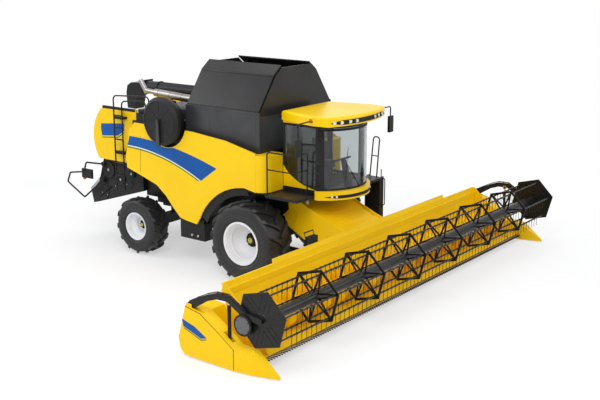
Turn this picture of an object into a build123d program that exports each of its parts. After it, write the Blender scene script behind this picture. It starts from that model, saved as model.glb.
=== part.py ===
"""Combine harvester with its grain header: one machine, built piece by piece.

Millimetres. x runs forward, y to the machine's left and z up from the ground. The origin is on
the ground at the middle of the whole length and width, and axle_x is the drive axle's place.
"""

import os
from math import atan2, cos, hypot, pi, radians, sin, sqrt, tan

from build123d import *

# ---------------------------------------------------------------- driving sizes

divider_tip = 4000          # forward of the drive axle
rear_reach = 6900           # end of the stowed unloading spout, behind the drive axle
reel_x, reel_z = 3650, 1075
reel_radius, reel_turn = 575, 15    # over the corners of its six-sided ends, and how they stand
axle_x = (rear_reach - reel_x - reel_radius * cos(radians(reel_turn))) / 2
wheelbase = 3590

running_gap = 6             # between moving pieces
seat_gap = 0.3              # between pieces that rest on each other
pin_gap = 0.25              # around pins and shafts
plate = 12                  # stiff steel plate
skin = 40                   # moulded body panel with its stiffening

# wheels: radius over the lugs, width, middle of the tread from the machine's middle, rim flange,
# bead seat, how far the flange lies inside the tyre's side, how far the disc lies outside the
# middle, flats round the tyre, lugs on each side and their height
drive_wheel = dict(radius=950, width=800, middle=1450, rim=505, bead=450, recess=30, disc=-60,
                   flats=24, lugs=16, lug_high=45)
steer_wheel = dict(radius=710, width=540, middle=1350, rim=350, bead=310, recess=22, disc=-50,
                   flats=20, lugs=13, lug_high=35)
kingpin_y = 900
kingpin_radius = 45
spindle_radius = 70
drive_spindle_radius = 110

# frame and threshing body
rail_y = 500
rail_wide = 120
rail_low, rail_high = 1100, 1350
axle_deep = 300
body_half = 930
body_front, body_rear = 150, -3840
body_low, body_high = rail_high, 2200

# grain tank and its raised covers
tank_front, tank_rear = 200, -2020
tank_half = 1350
tank_low, tank_high = 2950, 3870
hopper_half, hopper_low = 600, body_high
tank_wall = 30
cover_skin = 25
cover_fold = (800, 4650)    # y and z of the side cover's fold
cover_top = (530, 4850)
wall_hinge_z = 3770

# side shields
shield_y = 1550
shield_split_x = 230        # seam between side shield and corner panel

# rotary dust screen on the right side
screen_x, screen_z = -2490, 3460
screen_radius, screen_deep = 570, 160
screen_face_y = -1770
screen_housing_radius = 430
screen_shaft_radius = 45
shield_screen_cut = 640

# unloading auger
swing_x, swing_y = -300, 1620
tube_z, tube_radius = 3620, 180
turret_low, turret_radius = 3080, 200
turret_cut = 480

# rear hood and engine deck
hood_rear, hood_half = -5450, 1200
hood_low, hood_high = 2170, 3540
hood_panel = 60             # side panels standing above the lower middle
hood_front = body_rear - seat_gap
deck_z = 3310
deck_half = 1300

# cab
cab_floor, cab_roof_low, cab_roof_high = 2200, 3640, 3900
cab_rear, pillar_x, cab_nose = 500, 1460, 1950
cab_half = 880
glass = 10
post = 70
door_rear, door_front = cab_rear + 30, pillar_x - 20
door_y, door_thick = cab_half + running_gap, 35
platform_z, platform_half = 2100, 1550
platform_front = dict(right=1400, left=1600)
visor_low = 3690

# feeder house, its hinge and lift cylinders
lift_x, lift_z = 500, 1750
feeder_half = 800
lift_range = 22
lift_barrel_pin = (180, 620)
lift_rod_pin = (1500, 600)
lift_cylinder_y = 550
pin_radius = 25

# drawbar on the rear axle
drawbar_x, drawbar_z, drawbar_thick, drawbar_bore = -4090, 640, 30, 16

# header, its half widths from the middle outwards
cut_half = 5335
end_box = 405               # drive space between the trough's end sheet and the divider
bearing_gap = 30
back_half = cut_half - end_box
auger_half = back_half - bearing_gap
strip_half = back_half - 1530
divider_inner = cut_half + running_gap
knife_x, knife_z = 3380, 150
guard_pitch, guard_long = 76.2, 90
auger_x, auger_z = 2780, 560
auger_tube, auger_radius, auger_shaft = 160, 300, 30
flight_pitch, flight_thick = 560, 8

# reel, beyond the dividers' inner sides at each end
reel_over = 190
reel_half = divider_inner + reel_over
reel_tube = 105
bat_count, bat_radius, bat_pipe = 6, 480, 18
spider_count = 6
tine_long, tine_thick, tine_pitch = 200, 8, 150
tine_half = divider_inner - 140
reel_arm_wide = 60
reel_arm_y = reel_half + running_gap + reel_arm_wide / 2
divider_cheek = 72
divider_outer = reel_arm_y + divider_cheek
arm_pin = (1990, 990)
reel_range = 20
reel_barrel_pin = (2880, 480)
reel_rod_pin = (2880, 1290)
reel_cylinder_y = reel_arm_y - 74


# ---------------------------------------------------------------- planes and simple shapes

def at(x, y, z):
    """A place given forward of the drive axle, left of the middle and above the ground."""
    return (axle_x + x, y, z)


def side(y):
    """Upright plane along the machine: its own x is forward and its own y is up."""
    return Plane(origin=at(0, y, 0), x_dir=(1, 0, 0), z_dir=(0, -1, 0))


def front(x):
    """Upright plane across the machine: its own x is to the left and its own y is up."""
    return Plane(origin=at(x, 0, 0), x_dir=(0, 1, 0), z_dir=(1, 0, 0))


def level(z):
    """Flat plane at a height: its own x is forward and its own y is to the left."""
    return Plane(origin=at(0, 0, z))


def slab(points, y_from, y_to, mode=Mode.ADD):
    """A plate of the outline (x, z), from one y up to the other."""
    with BuildSketch(side(y_to)) as outline:
        with BuildLine():
            Polyline(*points, close=True)
        make_face()
    extrude(outline.sketch, amount=y_to - y_from, mode=mode)


def wall(points, x_from, x_to, mode=Mode.ADD):
    """A plate of the outline (y, z), from one x up to the other."""
    with BuildSketch(front(x_from)) as outline:
        with BuildLine():
            Polyline(*points, close=True)
        make_face()
    extrude(outline.sketch, amount=x_to - x_from, mode=mode)


def block(x, y, z, mode=Mode.ADD):
    """A square-edged block, each way from the first value to the second."""
    with Locations(at(sum(x) / 2, sum(y) / 2, sum(z) / 2)):
        Box(x[1] - x[0], y[1] - y[0], z[1] - z[0], mode=mode)


def bar(start, end, radius, bore=0, mode=Mode.ADD):
    """A round bar between two places, or a tube where it has a bore."""
    begin, stop = Vector(*at(*start)), Vector(*at(*end))
    with BuildSketch(Plane(origin=begin, z_dir=stop - begin)) as ring:
        Circle(radius)
        if bore:
            Circle(bore, mode=Mode.SUBTRACT)
    extrude(ring.sketch, amount=(stop - begin).length, mode=mode)


def rail(points, radius, bend):
    """A bent tube through the places, with each corner rounded."""
    with BuildLine() as route:
        FilletPolyline(*[at(*point) for point in points], radius=bend)
    with BuildSketch(Plane(origin=route.line @ 0, z_dir=route.line % 0)) as ring:
        Circle(radius)
    sweep(ring.sketch, path=route.line)


def turned(profile, x, y, z, mode=Mode.ADD):
    """A turned piece about a line across the machine; the profile is (outward, radius)."""
    with BuildSketch(Plane(origin=at(x, y, z), x_dir=(0, 1, 0), z_dir=(1, 0, 0))) as half:
        with BuildLine():
            Polyline(*profile, close=True)
        make_face()
    revolve(half.sketch, axis=Axis(at(x, y, z), (0, 1, 0)), mode=mode)


pieces = {}


def keep(name, build):
    """Names a finished piece and keeps it for its file."""
    build.part.label = name
    pieces[name] = build.part


# ---------------------------------------------------------------- frame and axles

drive_z = drive_wheel["radius"]
steer_z = steer_wheel["radius"]
steer_x = -wheelbase
housing_end = drive_wheel["middle"] - drive_wheel["width"] / 2 - 90
axle_low = rail_low - axle_deep
beam_half_deep = 120
hub_nose = 45               # how far a hub stands out of its disc
kingpin_end = steer_z + beam_half_deep

with BuildPart() as frame:
    for y in (-rail_y, rail_y):
        block((body_rear, 380), (y - rail_wide / 2, y + rail_wide / 2), (rail_low, rail_high))
    for x in (body_rear, -2600, -1300, 230):
        block((x, x + 150), (-rail_y, rail_y), (rail_low + 40, rail_high))
    block((steer_x - 120, steer_x + 120), (-rail_y, rail_y), (rail_low - 80, rail_high))
    # cheeks of the header hinge, up beside the feeder house
    for y in (-1, 1):
        inner = feeder_half + running_gap
        slab([(body_front, rail_high), (body_front, 1950), (lift_x + 90, 1850),
              (lift_x + 90, 1640), (body_front + 150, rail_high)],
             min(y * inner, y * (inner + 30)), max(y * inner, y * (inner + 30)))
        block((body_front, body_front + 60), sorted((y * rail_y, y * (inner + 30))),
              (rail_low + 40, rail_high + 30))
        bar((lift_x, y * (inner + 30), lift_z), (lift_x, y * (feeder_half - 60), lift_z), 50)
keep("chassis_frame", frame)

with BuildPart() as drive_axle:
    block((-150, 150), (-housing_end, housing_end), (axle_low, rail_low))
    for y in (-1, 1):
        bar((0, y * (housing_end - 250), drive_z), (0, y * housing_end, drive_z), 200)
        bar((0, y * housing_end, drive_z),
            (0, y * (drive_wheel["middle"] + drive_wheel["disc"] + hub_nose), drive_z), drive_spindle_radius)
        # clevis plates that hold the lift cylinder's pin
        for side_y in (-52, 40):
            low = y * lift_cylinder_y + side_y
            slab([(-100, axle_low), (150, axle_low), (230, 640), (200, 570), (130, 590)],
                 low, low + plate)
        bar((lift_barrel_pin[0], y * lift_cylinder_y - 52, lift_barrel_pin[1]),
            (lift_barrel_pin[0], y * lift_cylinder_y + 52, lift_barrel_pin[1]), pin_radius)
keep("drive_axle", drive_axle)

with BuildPart() as steer_axle:
    slab([(steer_x - 110, steer_z - beam_half_deep), (steer_x + 110, steer_z - beam_half_deep),
          (steer_x + 110, steer_z + beam_half_deep), (steer_x - 110, steer_z + beam_half_deep)],
         -(kingpin_y - 130), kingpin_y - 130)
    block((steer_x - 90, steer_x + 90), (-250, 250), (steer_z + beam_half_deep, rail_low - 80))
    for y in (-1, 1):
        for z in (steer_z - beam_half_deep, steer_z + beam_half_deep - 50):
            block((steer_x - 80, steer_x + 80), sorted((y * (kingpin_y - 130), y * (kingpin_y + 60))),
                  (z, z + 50))
        bar((steer_x, y * kingpin_y, steer_z - beam_half_deep),
            (steer_x, y * kingpin_y, kingpin_end), kingpin_radius)
    block((drawbar_x - 45, steer_x - 110), (-60, 60), (drawbar_z, drawbar_z + drawbar_thick))
    bar((drawbar_x, 0, drawbar_z - 1), (drawbar_x, 0, drawbar_z + drawbar_thick + 1), drawbar_bore,
        mode=Mode.SUBTRACT)
keep("steer_axle", steer_axle)

for name, y in (("right", -1), ("left", 1)):
    with BuildPart() as knuckle:
        clear = beam_half_deep - 50 - 1
        block((steer_x - 70, steer_x + 70), sorted((y * (kingpin_y - 75), y * (kingpin_y + 90))),
              (steer_z - clear, steer_z + clear))
        bar((steer_x, y * (kingpin_y + 90), steer_z),
            (steer_x, y * (steer_wheel["middle"] + steer_wheel["disc"] + hub_nose), steer_z), spindle_radius)
        block((steer_x - 240, steer_x - 60), sorted((y * (kingpin_y - 40), y * kingpin_y)),
              (steer_z - 30, steer_z + 10))
        bar((steer_x, y * kingpin_y, steer_z - beam_half_deep),
            (steer_x, y * kingpin_y, kingpin_end), kingpin_radius + pin_gap, mode=Mode.SUBTRACT)
    keep("knuckle_" + name, knuckle)

# ---------------------------------------------------------------- wheels

def ring_of_flats(radius, flats, y_from, y_to, x, z):
    """A many-sided plug that a tyre's opening is cut with, measured to its flats."""
    with BuildSketch(Plane(origin=at(x, y_from, z), x_dir=(1, 0, 0), z_dir=(0, 1, 0))) as outline:
        RegularPolygon(radius, flats, major_radius=False)
    extrude(outline.sketch, amount=y_to - y_from, mode=Mode.SUBTRACT)


def many_sided(rings, flats, x, middle, z):
    """A body with flat faces between many-sided rings, each given as place across and radius."""
    corners = [[Vector(*at(x + radius * cos(2 * pi * n / flats), middle + across,
                           z + radius * sin(2 * pi * n / flats))) for n in range(flats)]
               for across, radius in rings]
    faces = [Face(Wire.make_polygon(corners[0])), Face(Wire.make_polygon(corners[-1]))]
    for near, far in zip(corners, corners[1:]):
        for n in range(flats):
            m = (n + 1) % flats
            faces.append(Face(Wire.make_polygon([near[n], near[m], far[m], far[n]])))
    return Solid(Shell(faces))


for wheel_name, wheel, x, bore in (("drive", drive_wheel, 0, drive_spindle_radius),
                                   ("steer", steer_wheel, steer_x, spindle_radius)):
    half = wheel["width"] / 2
    radius, rim, bead, recess = wheel["radius"], wheel["rim"], wheel["bead"], wheel["recess"]
    seat_edge = half - recess - 32
    for name, y in (("right", -1), ("left", 1)):
        middle = y * wheel["middle"]
        # sides of the carcass outward from the middle: place across and radius
        side_shape = [(half - 70, radius - wheel["lug_high"]), (half, radius * 0.74),
                      (half - recess + 20, rim + 14)]
        carcass = many_sided([(-a, r) for a, r in reversed(side_shape)] + side_shape,
                             wheel["flats"], x, middle, radius)
        with BuildPart() as tyre:
            add(carcass)
            ring_of_flats(bead + seat_gap, wheel["flats"], middle - half, middle + half, x, radius)
            for across in (-half, seat_edge):
                ring_of_flats(rim + 4, wheel["flats"], middle + across, middle + across + recess + 32,
                              x, radius)
            # lugs lean back from the middle of the tread to its shoulders
            for outward in (-1, 1):
                places = []
                for index in range(wheel["lugs"]):
                    turn = 2 * pi * (index + max(outward, 0) / 2) / wheel["lugs"]
                    foot = 0.985 * radius
                    places.append(Plane(origin=at(x + foot * cos(turn), middle, radius + foot * sin(turn)),
                                        x_dir=(0, outward, 0), z_dir=(cos(turn), 0, sin(turn))))
                with BuildSketch(*places) as lugs:
                    long = 0.155 * radius * outward
                    Polygon((-10, -long), (half - 18, 0.6 * long), (half - 18, long), (-10, -0.6 * long),
                            align=None)
                extrude(lugs.sketch, amount=-(wheel["lug_high"] + 130))
        keep(f"{wheel_name}_tyre_{name}", tyre)
        with BuildPart() as wheel_rim:
            # barrel with its flanges, deep bowl and hub
            flange = half - recess
            turned([(-flange, bead), (-flange, rim), (-flange + 22, rim), (-flange + 26, bead),
                    (flange - 26, bead), (flange - 22, rim), (flange, rim), (flange, bead),
                    (flange - 38, bead - 16), (-flange + 38, bead - 16)], x, middle, radius)
            disc = y * wheel["disc"]
            bowl = disc + y * 150
            turned([(disc - 10, bore + pin_gap), (disc - 10, bore + 110), (bowl - 10, bead - 10),
                    (bowl + 10, bead - 10), (disc + 10, bore + 110), (disc + 10, bore + pin_gap)],
                   x, middle, radius)
            ends = sorted((disc - y * 60, disc + y * hub_nose))
            turned([(ends[0], bore + pin_gap), (ends[0], bore + 70), (ends[1], bore + 70),
                    (ends[1], bore + pin_gap)], x, middle, radius)
        keep(f"{wheel_name}_rim_{name}", wheel_rim)

# ---------------------------------------------------------------- threshing body and engine

with BuildPart() as body:
    block((body_rear, body_front), (-body_half, body_half), (body_low, body_high))
    # wide upper body that carries the shields
    block((body_rear, tank_rear - 20), (-1330, 1330), (body_high, body_high + 130))
    for y in (-1330, 1300):
        block((tank_rear - 20, body_front), (y, y + 30), (body_high, tank_low - 70))
        block((body_rear, tank_rear - 20), (y, y + 30), (body_high + 130, deck_z))
        block((tank_rear - 120, body_front), sorted((y + 15, y / abs(y) * body_half)),
              (body_high - 40, body_high))
    block((body_front - 30, body_front), (-1330, 1330), (body_high, tank_low - seat_gap))
keep("separator_body", body)

with BuildPart() as engine:
    block((-3500, -2350), (-600, 600), (body_high + 130 + seat_gap, 3150))
keep("engine", engine)

with BuildPart() as tank:
    outer = [(-tank_half, tank_low), (-hopper_half, hopper_low + 40), (hopper_half, hopper_low + 40),
             (tank_half, tank_low), (tank_half, tank_high), (-tank_half, tank_high)]
    inset = tank_half - tank_wall
    wall(outer, tank_rear, body_front - 40)
    block((body_front - 40, tank_front), (-tank_half, tank_half), (tank_low, tank_high))
    wall([(-inset, tank_low + 10), (-hopper_half, hopper_low + 85), (hopper_half, hopper_low + 85),
          (inset, tank_low + 10), (inset, tank_high + 10), (-inset, tank_high + 10)],
         tank_rear + tank_wall, body_front - 70, mode=Mode.SUBTRACT)
    block((body_front - 71, tank_front - tank_wall), (-inset, inset), (tank_low + tank_wall, tank_high + 10),
          mode=Mode.SUBTRACT)
    # the front and rear walls stop lower, where the folding walls hinge
    for x in ((tank_rear - 1, tank_rear + tank_wall + 1), (tank_front - tank_wall - 1, tank_front + 1)):
        block(x, (-inset, inset), (wall_hinge_z - seat_gap, tank_high + 10), mode=Mode.SUBTRACT)
    # keel that sits on the body
    block((tank_rear + 100, body_front - 130), (-hopper_half + 60, hopper_half - 60),
          (hopper_low + seat_gap, hopper_low + 41))
keep("grain_tank", tank)

with BuildPart() as tank_auger:
    bar((-400, 0, hopper_low + 180), (-700, 0, 3700), 130)
    block((-520, -280), (-150, 150), (hopper_low + 85 + seat_gap, hopper_low + 200))
keep("tank_auger", tank_auger)

# ---------------------------------------------------------------- folding tank covers

cover_front, cover_rear = tank_front - 32, tank_rear + 32
lean = atan2(cover_fold[1] - tank_high, tank_half - cover_fold[0])
crest = atan2(cover_top[1] - cover_fold[1], cover_fold[0] - cover_top[0])
for name, y in (("right", -1), ("left", 1)):
    with BuildPart() as cover:
        inner_fold = (cover_fold[0] - cover_skin * tan((lean + crest) / 4 + radians(10)),
                      cover_fold[1] - cover_skin)
        wall([(y * tank_half, tank_high + seat_gap), (y * cover_fold[0], cover_fold[1]),
              (y * cover_top[0], cover_top[1]),
              (y * (cover_top[0] - cover_skin * sin(crest)), cover_top[1] - cover_skin * cos(crest)),
              (y * inner_fold[0], inner_fold[1]),
              (y * (tank_half - cover_skin / sin(lean)), tank_high + seat_gap)], cover_rear, cover_front)
    keep("tank_cover_" + name, cover)

wall_top = cover_top[1] - 55
for name, x in (("front", tank_front - 28), ("rear", tank_rear + 3)):
    with BuildPart() as cover:
        clear = 50
        top_half = cover_top[0] + (cover_top[1] - wall_top) * (cover_fold[0] - cover_top[0]) / (
            cover_top[1] - cover_fold[1])
        half_outline = [(tank_half - tank_wall - running_gap, wall_hinge_z),
                        (tank_half - tank_wall - running_gap, tank_high - 10),
                        (cover_fold[0] - clear, cover_fold[1] - 20), (top_half - clear - 20, wall_top)]
        wall(half_outline + [(-y, z) for y, z in reversed(half_outline)], x, x + cover_skin)
    keep("tank_cover_" + name, cover)

# ---------------------------------------------------------------- side shields and corner panels

# outline of the right shield, forward along the lower edge, then back along the top
shield_rear = [(-3560, 3300), (-3770, 3060), (-3790, 2730), (-3880, 2490), (-3850, 2160)]
shield_low = [(-3430, 2040), (-2850, 1860), (-2550, 1630), (-2320, 1380), (-2100, 1170), (-1920, 1130),
              (-1570, 1090)]
arch_start, arch_mid, arch_end = (-1470, 1240), (-930, 1880), (-80, 2170)
shield_top = [(shield_split_x, 2990), (-640, 3180), (-1650, 3280), (-2180, 3290)]

for name, y, cut_x, cut_z, cut_radius in (
        ("right", -1, screen_x, screen_z, shield_screen_cut),
        ("left", 1, swing_x, turret_low + turret_radius, turret_cut)):
    near, far = sorted((y * shield_y, y * (shield_y - skin)))
    with BuildPart() as shield:
        with BuildSketch(side(far)) as outline:
            with BuildLine():
                Polyline(*shield_rear, *shield_low, arch_start)
                ThreePointArc(arch_start, arch_mid, arch_end)
                Polyline(arch_end, (shield_split_x, 2110), *shield_top, shield_rear[0])
            make_face()
            with Locations((cut_x, cut_z)):
                Circle(cut_radius, mode=Mode.SUBTRACT)
        extrude(outline.sketch, amount=skin)
    keep("side_shield_" + name, shield)

with BuildPart() as corners:
    for y in (-1, 1):
        with BuildSketch(level(2120)) as outline:
            with BuildLine():
                start = (shield_split_x + running_gap, y * shield_y)
                Line(start, (shield_split_x + 30, y * shield_y))
                ThreePointArc((shield_split_x + 30, y * shield_y), (shield_split_x + 200, y * (shield_y - 80)),
                              (shield_split_x + 270, y * (shield_y - 250)))
                Line((shield_split_x + 270, y * (shield_y - 250)), (shield_split_x + 270, y * 900))
                Line((shield_split_x + 270, y * 900), (body_front + seat_gap, y * 900))
                Line((body_front + seat_gap, y * 900), (body_front + seat_gap, y * (shield_y - skin)))
                Polyline((body_front + seat_gap, y * (shield_y - skin)),
                         (shield_split_x + running_gap, y * (shield_y - skin)), start)
            make_face()
        extrude(outline.sketch, amount=tank_low - seat_gap - 2120)
keep("corner_panels", corners)

fender_y = shield_y - skin - running_gap
with BuildPart() as fenders:
    for y in (-1, 1):
        # moulded arch above the tyre, and its wide face just inside the shield's edge
        for low, high, inner_start, inner_mid, inner_end in (
                (1030, fender_y, (-1375, 1250), (-895, 1840), (-80, 2118)),
                (fender_y - 30, fender_y, (-1290, 1160), (-800, 1745), (0, 1990))):
            with BuildSketch(side(max(y * low, y * high))) as outline:
                with BuildLine():
                    ThreePointArc((-1410, 1285), (-930, 1868), (-80, 2150))
                    Polyline((-80, 2150), inner_end)
                    ThreePointArc(inner_end, inner_mid, inner_start)
                    Line(inner_start, (-1410, 1285))
                make_face()
            extrude(outline.sketch, amount=high - low)
        block((-700, 100), sorted((y * body_half, y * 1040)), (2120, 2150))
        block((-90, body_front + 330), sorted((y * body_half, y * fender_y)), (2088, 2118))
        block((-90, 60), sorted((y * body_half, y * fender_y)), (2100, 2145))
keep("fenders", fenders)

with BuildPart() as tool_box:
    block((-2200, -1420), (-1440, -1180), (660, 1080))
    for x in (-2120, -1600):
        block((x, x + 80), (-1400, -(rail_y + rail_wide / 2) - seat_gap), (1040, 1200))
keep("tool_box", tool_box)

# ---------------------------------------------------------------- hood, deck, screen and rear

with BuildPart() as hood:
    with BuildSketch(side(hood_half)) as outline:
        with BuildLine():
            Polyline((-5320, 2230), (-5230, hood_low), (hood_front, hood_low), (hood_front, hood_high),
                     (-4870, hood_high - 20), (-5140, 3460))
            ThreePointArc((-5140, 3460), (hood_rear, 2780), (-5320, 2230))
        make_face()
    extrude(outline.sketch, amount=2 * hood_half)
    fillet(hood.edges().filter_by(GeomType.CIRCLE), hood_panel - 10)
    # the middle lies lower than the side panels
    slab([(hood_rear - 200, 3080), (hood_front + 1, 3260), (hood_front + 1, hood_high + 1),
          (hood_rear - 200, hood_high + 1)], -hood_half + hood_panel, hood_half - hood_panel,
         mode=Mode.SUBTRACT)
keep("rear_hood", hood)

rail_radius = 18
deck_top = deck_z + 40
with BuildPart() as deck:
    block((body_rear + 110, tank_rear - 20), (-deck_half, deck_half), (deck_z, deck_top))
    # engine cover and air cleaner that stand on the deck
    block((-3500, -2300), (-900, 420), (deck_top, 3640))
    block((body_rear + 110, -3460), (-deck_half, -1000), (deck_top, 3490))
    rail([(-2300, deck_half - 40, deck_top), (-2300, deck_half - 40, 3950),
          (-3700, deck_half - 40, 3950), (-3700, deck_half - 40, deck_top)], rail_radius, 90)
keep("engine_deck", deck)

with BuildPart() as exhaust:
    # silencer lying along the machine, its feet and the leaning outlet
    bar((-2450, -400, 3800), (-3950, -400, 3870), 95)
    for x in (-2700, -3400):
        block((x - 20, x + 20), (-430, -370), (3640 + seat_gap, 3800))
    bar((-3900, -400, 3870), (-4290, -400, 3900), 60)
    bar((-4260, -400, 3850), (-4470, -400, 4150), 60)
keep("exhaust", exhaust)

with BuildPart() as screen:
    turned([(screen_face_y, screen_shaft_radius + pin_gap), (screen_face_y, screen_radius - 80),
            (screen_face_y + 60, screen_radius), (screen_face_y + screen_deep, screen_radius),
            (screen_face_y + screen_deep, screen_radius - 12), (screen_face_y + 65, screen_radius - 12),
            (screen_face_y + 12, screen_radius - 84), (screen_face_y + 12, screen_shaft_radius + pin_gap)],
           screen_x, 0, screen_z)
keep("dust_screen", screen)

screen_back = screen_face_y + screen_deep + running_gap
with BuildPart() as screen_housing:
    bar((screen_x, screen_back, screen_z), (screen_x, -tank_half - 5, screen_z), screen_housing_radius)
    bar((screen_x, screen_back, screen_z), (screen_x, screen_face_y - running_gap, screen_z),
        screen_shaft_radius)
    block((screen_x - 400, screen_x + 400), (-tank_half - 6, -deck_half + 180),
          (deck_top + seat_gap, screen_z))
    block((screen_x - 400, screen_x + 400), (-shield_y + skin + 30, -1330 - seat_gap), (3000, screen_z))
    block((screen_x - 50, screen_x + 50), (screen_face_y - 50, screen_face_y - running_gap),
          (screen_z - screen_radius + 10, screen_z + 60))
keep("screen_housing", screen_housing)

chopper_half = 1040
with BuildPart() as chopper:
    slab([(-5250, hood_low - seat_gap), (-5420, 1650), (-5560, 1010), (-5500, 950), (hood_front, 1460),
          (hood_front, hood_low - seat_gap)], -chopper_half, chopper_half)
    # tail plate and the fins that spread the straw
    slab([(-5480, 955), (-5720, 895), (-5725, 915), (-5485, 975)], -chopper_half, chopper_half)
    for index in range(9):
        y = -chopper_half + 6 + index * (2 * chopper_half - 12) / 8
        slab([(-5410, 1640), (-5810, 1275), (-5715, 905), (-5500, 960)], y - 6, y + 6)
keep("straw_chopper", chopper)

with BuildPart() as guards:
    for y in (-1, 1):
        for x, z in ((-5210, 2000), (-5250, 1560)):
            block((x - 50, x + 50), sorted((y * (chopper_half + seat_gap), y * 1135)), (z - 50, z + 50))
        rail([(-5210, y * 1130, 2000), (-5650, y * 1300, 2020), (-5750, y * 1300, 1760),
              (-6290, y * 1300, 1670), (-6410, y * 1300, 1410), (-5770, y * 1300, 1080),
              (-5250, y * 1130, 1560)], 22, 45)
        block((-5850, -5460), sorted((y * 1245, y * 1290)), (1600, 1840))
keep("rear_guards", guards)

ladder_rear, ladder_front, ladder_y = -4470, -4180, -1350
with BuildPart() as rear_ladder:
    for x, top, far in ((ladder_rear, 3860, -3300), (ladder_front, 3740, -3420)):
        rail([(x, ladder_y, 1480), (x, ladder_y, top), (far, ladder_y + 70, top + 60),
              (far, ladder_y + 70, deck_top + seat_gap)], rail_radius, 110)
    for step in range(7):
        z = 1560 + 300 * step
        block((ladder_rear, ladder_front), (ladder_y - 25, ladder_y + 25), (z, z + 25))
    for z in (2400, 3280):
        block((ladder_rear - 20, ladder_front + 20), (ladder_y + 5, -hood_half - seat_gap), (z, z + 60))
keep("rear_ladder", rear_ladder)

# ---------------------------------------------------------------- cab

with BuildPart() as cab_frame:
    with BuildSketch(level(cab_floor - 80)) as outline:
        with BuildLine():
            Polyline((pillar_x, cab_half), (cab_rear, cab_half), (cab_rear, -cab_half), (pillar_x, -cab_half))
            ThreePointArc((pillar_x, -cab_half), (cab_nose, 0), (pillar_x, cab_half))
        make_face()
    extrude(outline.sketch, amount=80)
    with BuildSketch(level(cab_roof_low - 50)) as outline:
        with BuildLine():
            Polyline((pillar_x, cab_half), (cab_rear, cab_half), (cab_rear, -cab_half), (pillar_x, -cab_half))
            ThreePointArc((pillar_x, -cab_half), (cab_nose, 0), (pillar_x, cab_half))
        make_face()
        offset(amount=-60, mode=Mode.SUBTRACT)
    extrude(outline.sketch, amount=50)
    for y in (-1, 1):
        for x in (cab_rear, pillar_x - post):
            block((x, x + post), sorted((y * cab_half, y * (cab_half - post))), (cab_floor, cab_roof_low - 50))
    block((cab_rear, cab_rear + 40), (-cab_half + post, cab_half - post), (cab_floor, cab_floor + 500))
    block((body_front + seat_gap, cab_rear), (-500, 500), (cab_floor - 80, cab_floor))
    for z in (2450, 3300):
        # ears of the door's hinge
        block((cab_rear + seat_gap, door_rear - seat_gap), (cab_half, door_y + door_thick), (z, z + 60))
    for y in (-700, 600):
        block((300, 1400), (y, y + 100), (cab_floor - 160, cab_floor - 80))
keep("cab_frame", cab_frame)

lamp_places = (350, 550, 780, 960)
lamp_half, lamp_low = 40, visor_low + 40
visor_radius = (1100 ** 2 + 250 ** 2) / (2 * 250)


def visor_x(across):
    """How far forward the roof's curved edge is, at a distance from the middle."""
    return 2150 - visor_radius + sqrt(visor_radius ** 2 - across ** 2)


with BuildPart() as roof:
    # body of the roof over the cab, and the wider visor on top of it
    with BuildSketch(level(cab_roof_low + seat_gap)) as outline:
        with BuildLine():
            Polyline((pillar_x, cab_half), (cab_rear, cab_half), (cab_rear, -cab_half), (pillar_x, -cab_half))
            ThreePointArc((pillar_x, -cab_half), (cab_nose, 0), (pillar_x, cab_half))
        make_face()
    extrude(outline.sketch, amount=visor_low - cab_roof_low)
    with BuildSketch(level(visor_low)) as outline:
        with BuildLine():
            Polyline((1500, 1150), (900, 1000), (cab_rear - 40, cab_half), (cab_rear - 40, -cab_half),
                     (900, -1000), (1500, -1150), (1900, -1100))
            ThreePointArc((1900, -1100), (2150, 0), (1900, 1100))
            Line((1900, 1100), (1500, 1150))
        make_face()
    extrude(outline.sketch, amount=cab_roof_high - visor_low)
    fillet(roof.faces().sort_by(Axis.Z)[-1].edges(), 60)
    for y in (-1, 1):
        for across in lamp_places:
            block((visor_x(across) - 80, visor_x(across) + 80),
                  sorted((y * (across - lamp_half - seat_gap), y * (across + lamp_half + seat_gap))),
                  (lamp_low - seat_gap, lamp_low + 2 * lamp_half + seat_gap), mode=Mode.SUBTRACT)
keep("cab_roof", roof)

pane_low, pane_high = cab_floor + seat_gap, cab_roof_low - 50 - seat_gap
with BuildPart() as cab_glass:
    with BuildSketch(level(pane_low)) as outline:
        with BuildLine():
            ThreePointArc((pillar_x + 1, -cab_half), (cab_nose, 0), (pillar_x + 1, cab_half))
            Line((pillar_x + 1, cab_half), (pillar_x + 1, cab_half - 12))
            ThreePointArc((pillar_x + 1, cab_half - 12), (cab_nose - glass, 0), (pillar_x + 1, -cab_half + 12))
            Line((pillar_x + 1, -cab_half + 12), (pillar_x + 1, -cab_half))
        make_face()
    extrude(outline.sketch, amount=pane_high - pane_low)
    block((cab_rear + post + seat_gap, pillar_x - post - seat_gap), (-cab_half + 10, -cab_half + 10 + glass),
          (pane_low, pane_high))
    block((cab_rear + 10, cab_rear + 10 + glass), (-cab_half + post + seat_gap, cab_half - post - seat_gap),
          (cab_floor + 500 + seat_gap, pane_high))
keep("cab_glass", cab_glass)

door_low, door_high = cab_floor + 10, cab_roof_low - 60
with BuildPart() as door:
    block((door_rear, door_front), (door_y, door_y + door_thick), (door_low, door_high))
    block((door_rear + 60, door_front - 60), (door_y - 1, door_y + door_thick + 1),
          (door_low + 60, door_high - 60), mode=Mode.SUBTRACT)
    bar((door_front - 30, door_y + 50, door_low + 500), (door_front - 30, door_y + 50, door_low + 800), 12)
    for z in (door_low + 500, door_low + 790):
        block((door_front - 42, door_front - 18), (door_y + door_thick, door_y + 50), (z, z + 12))
keep("cab_door", door)

with BuildPart() as door_glass:
    block((door_rear + 60 + seat_gap, door_front - 60 - seat_gap), (door_y + 12, door_y + 12 + glass),
          (door_low + 60 + seat_gap, door_high - 60 - seat_gap))
keep("door_glass", door_glass)

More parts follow.
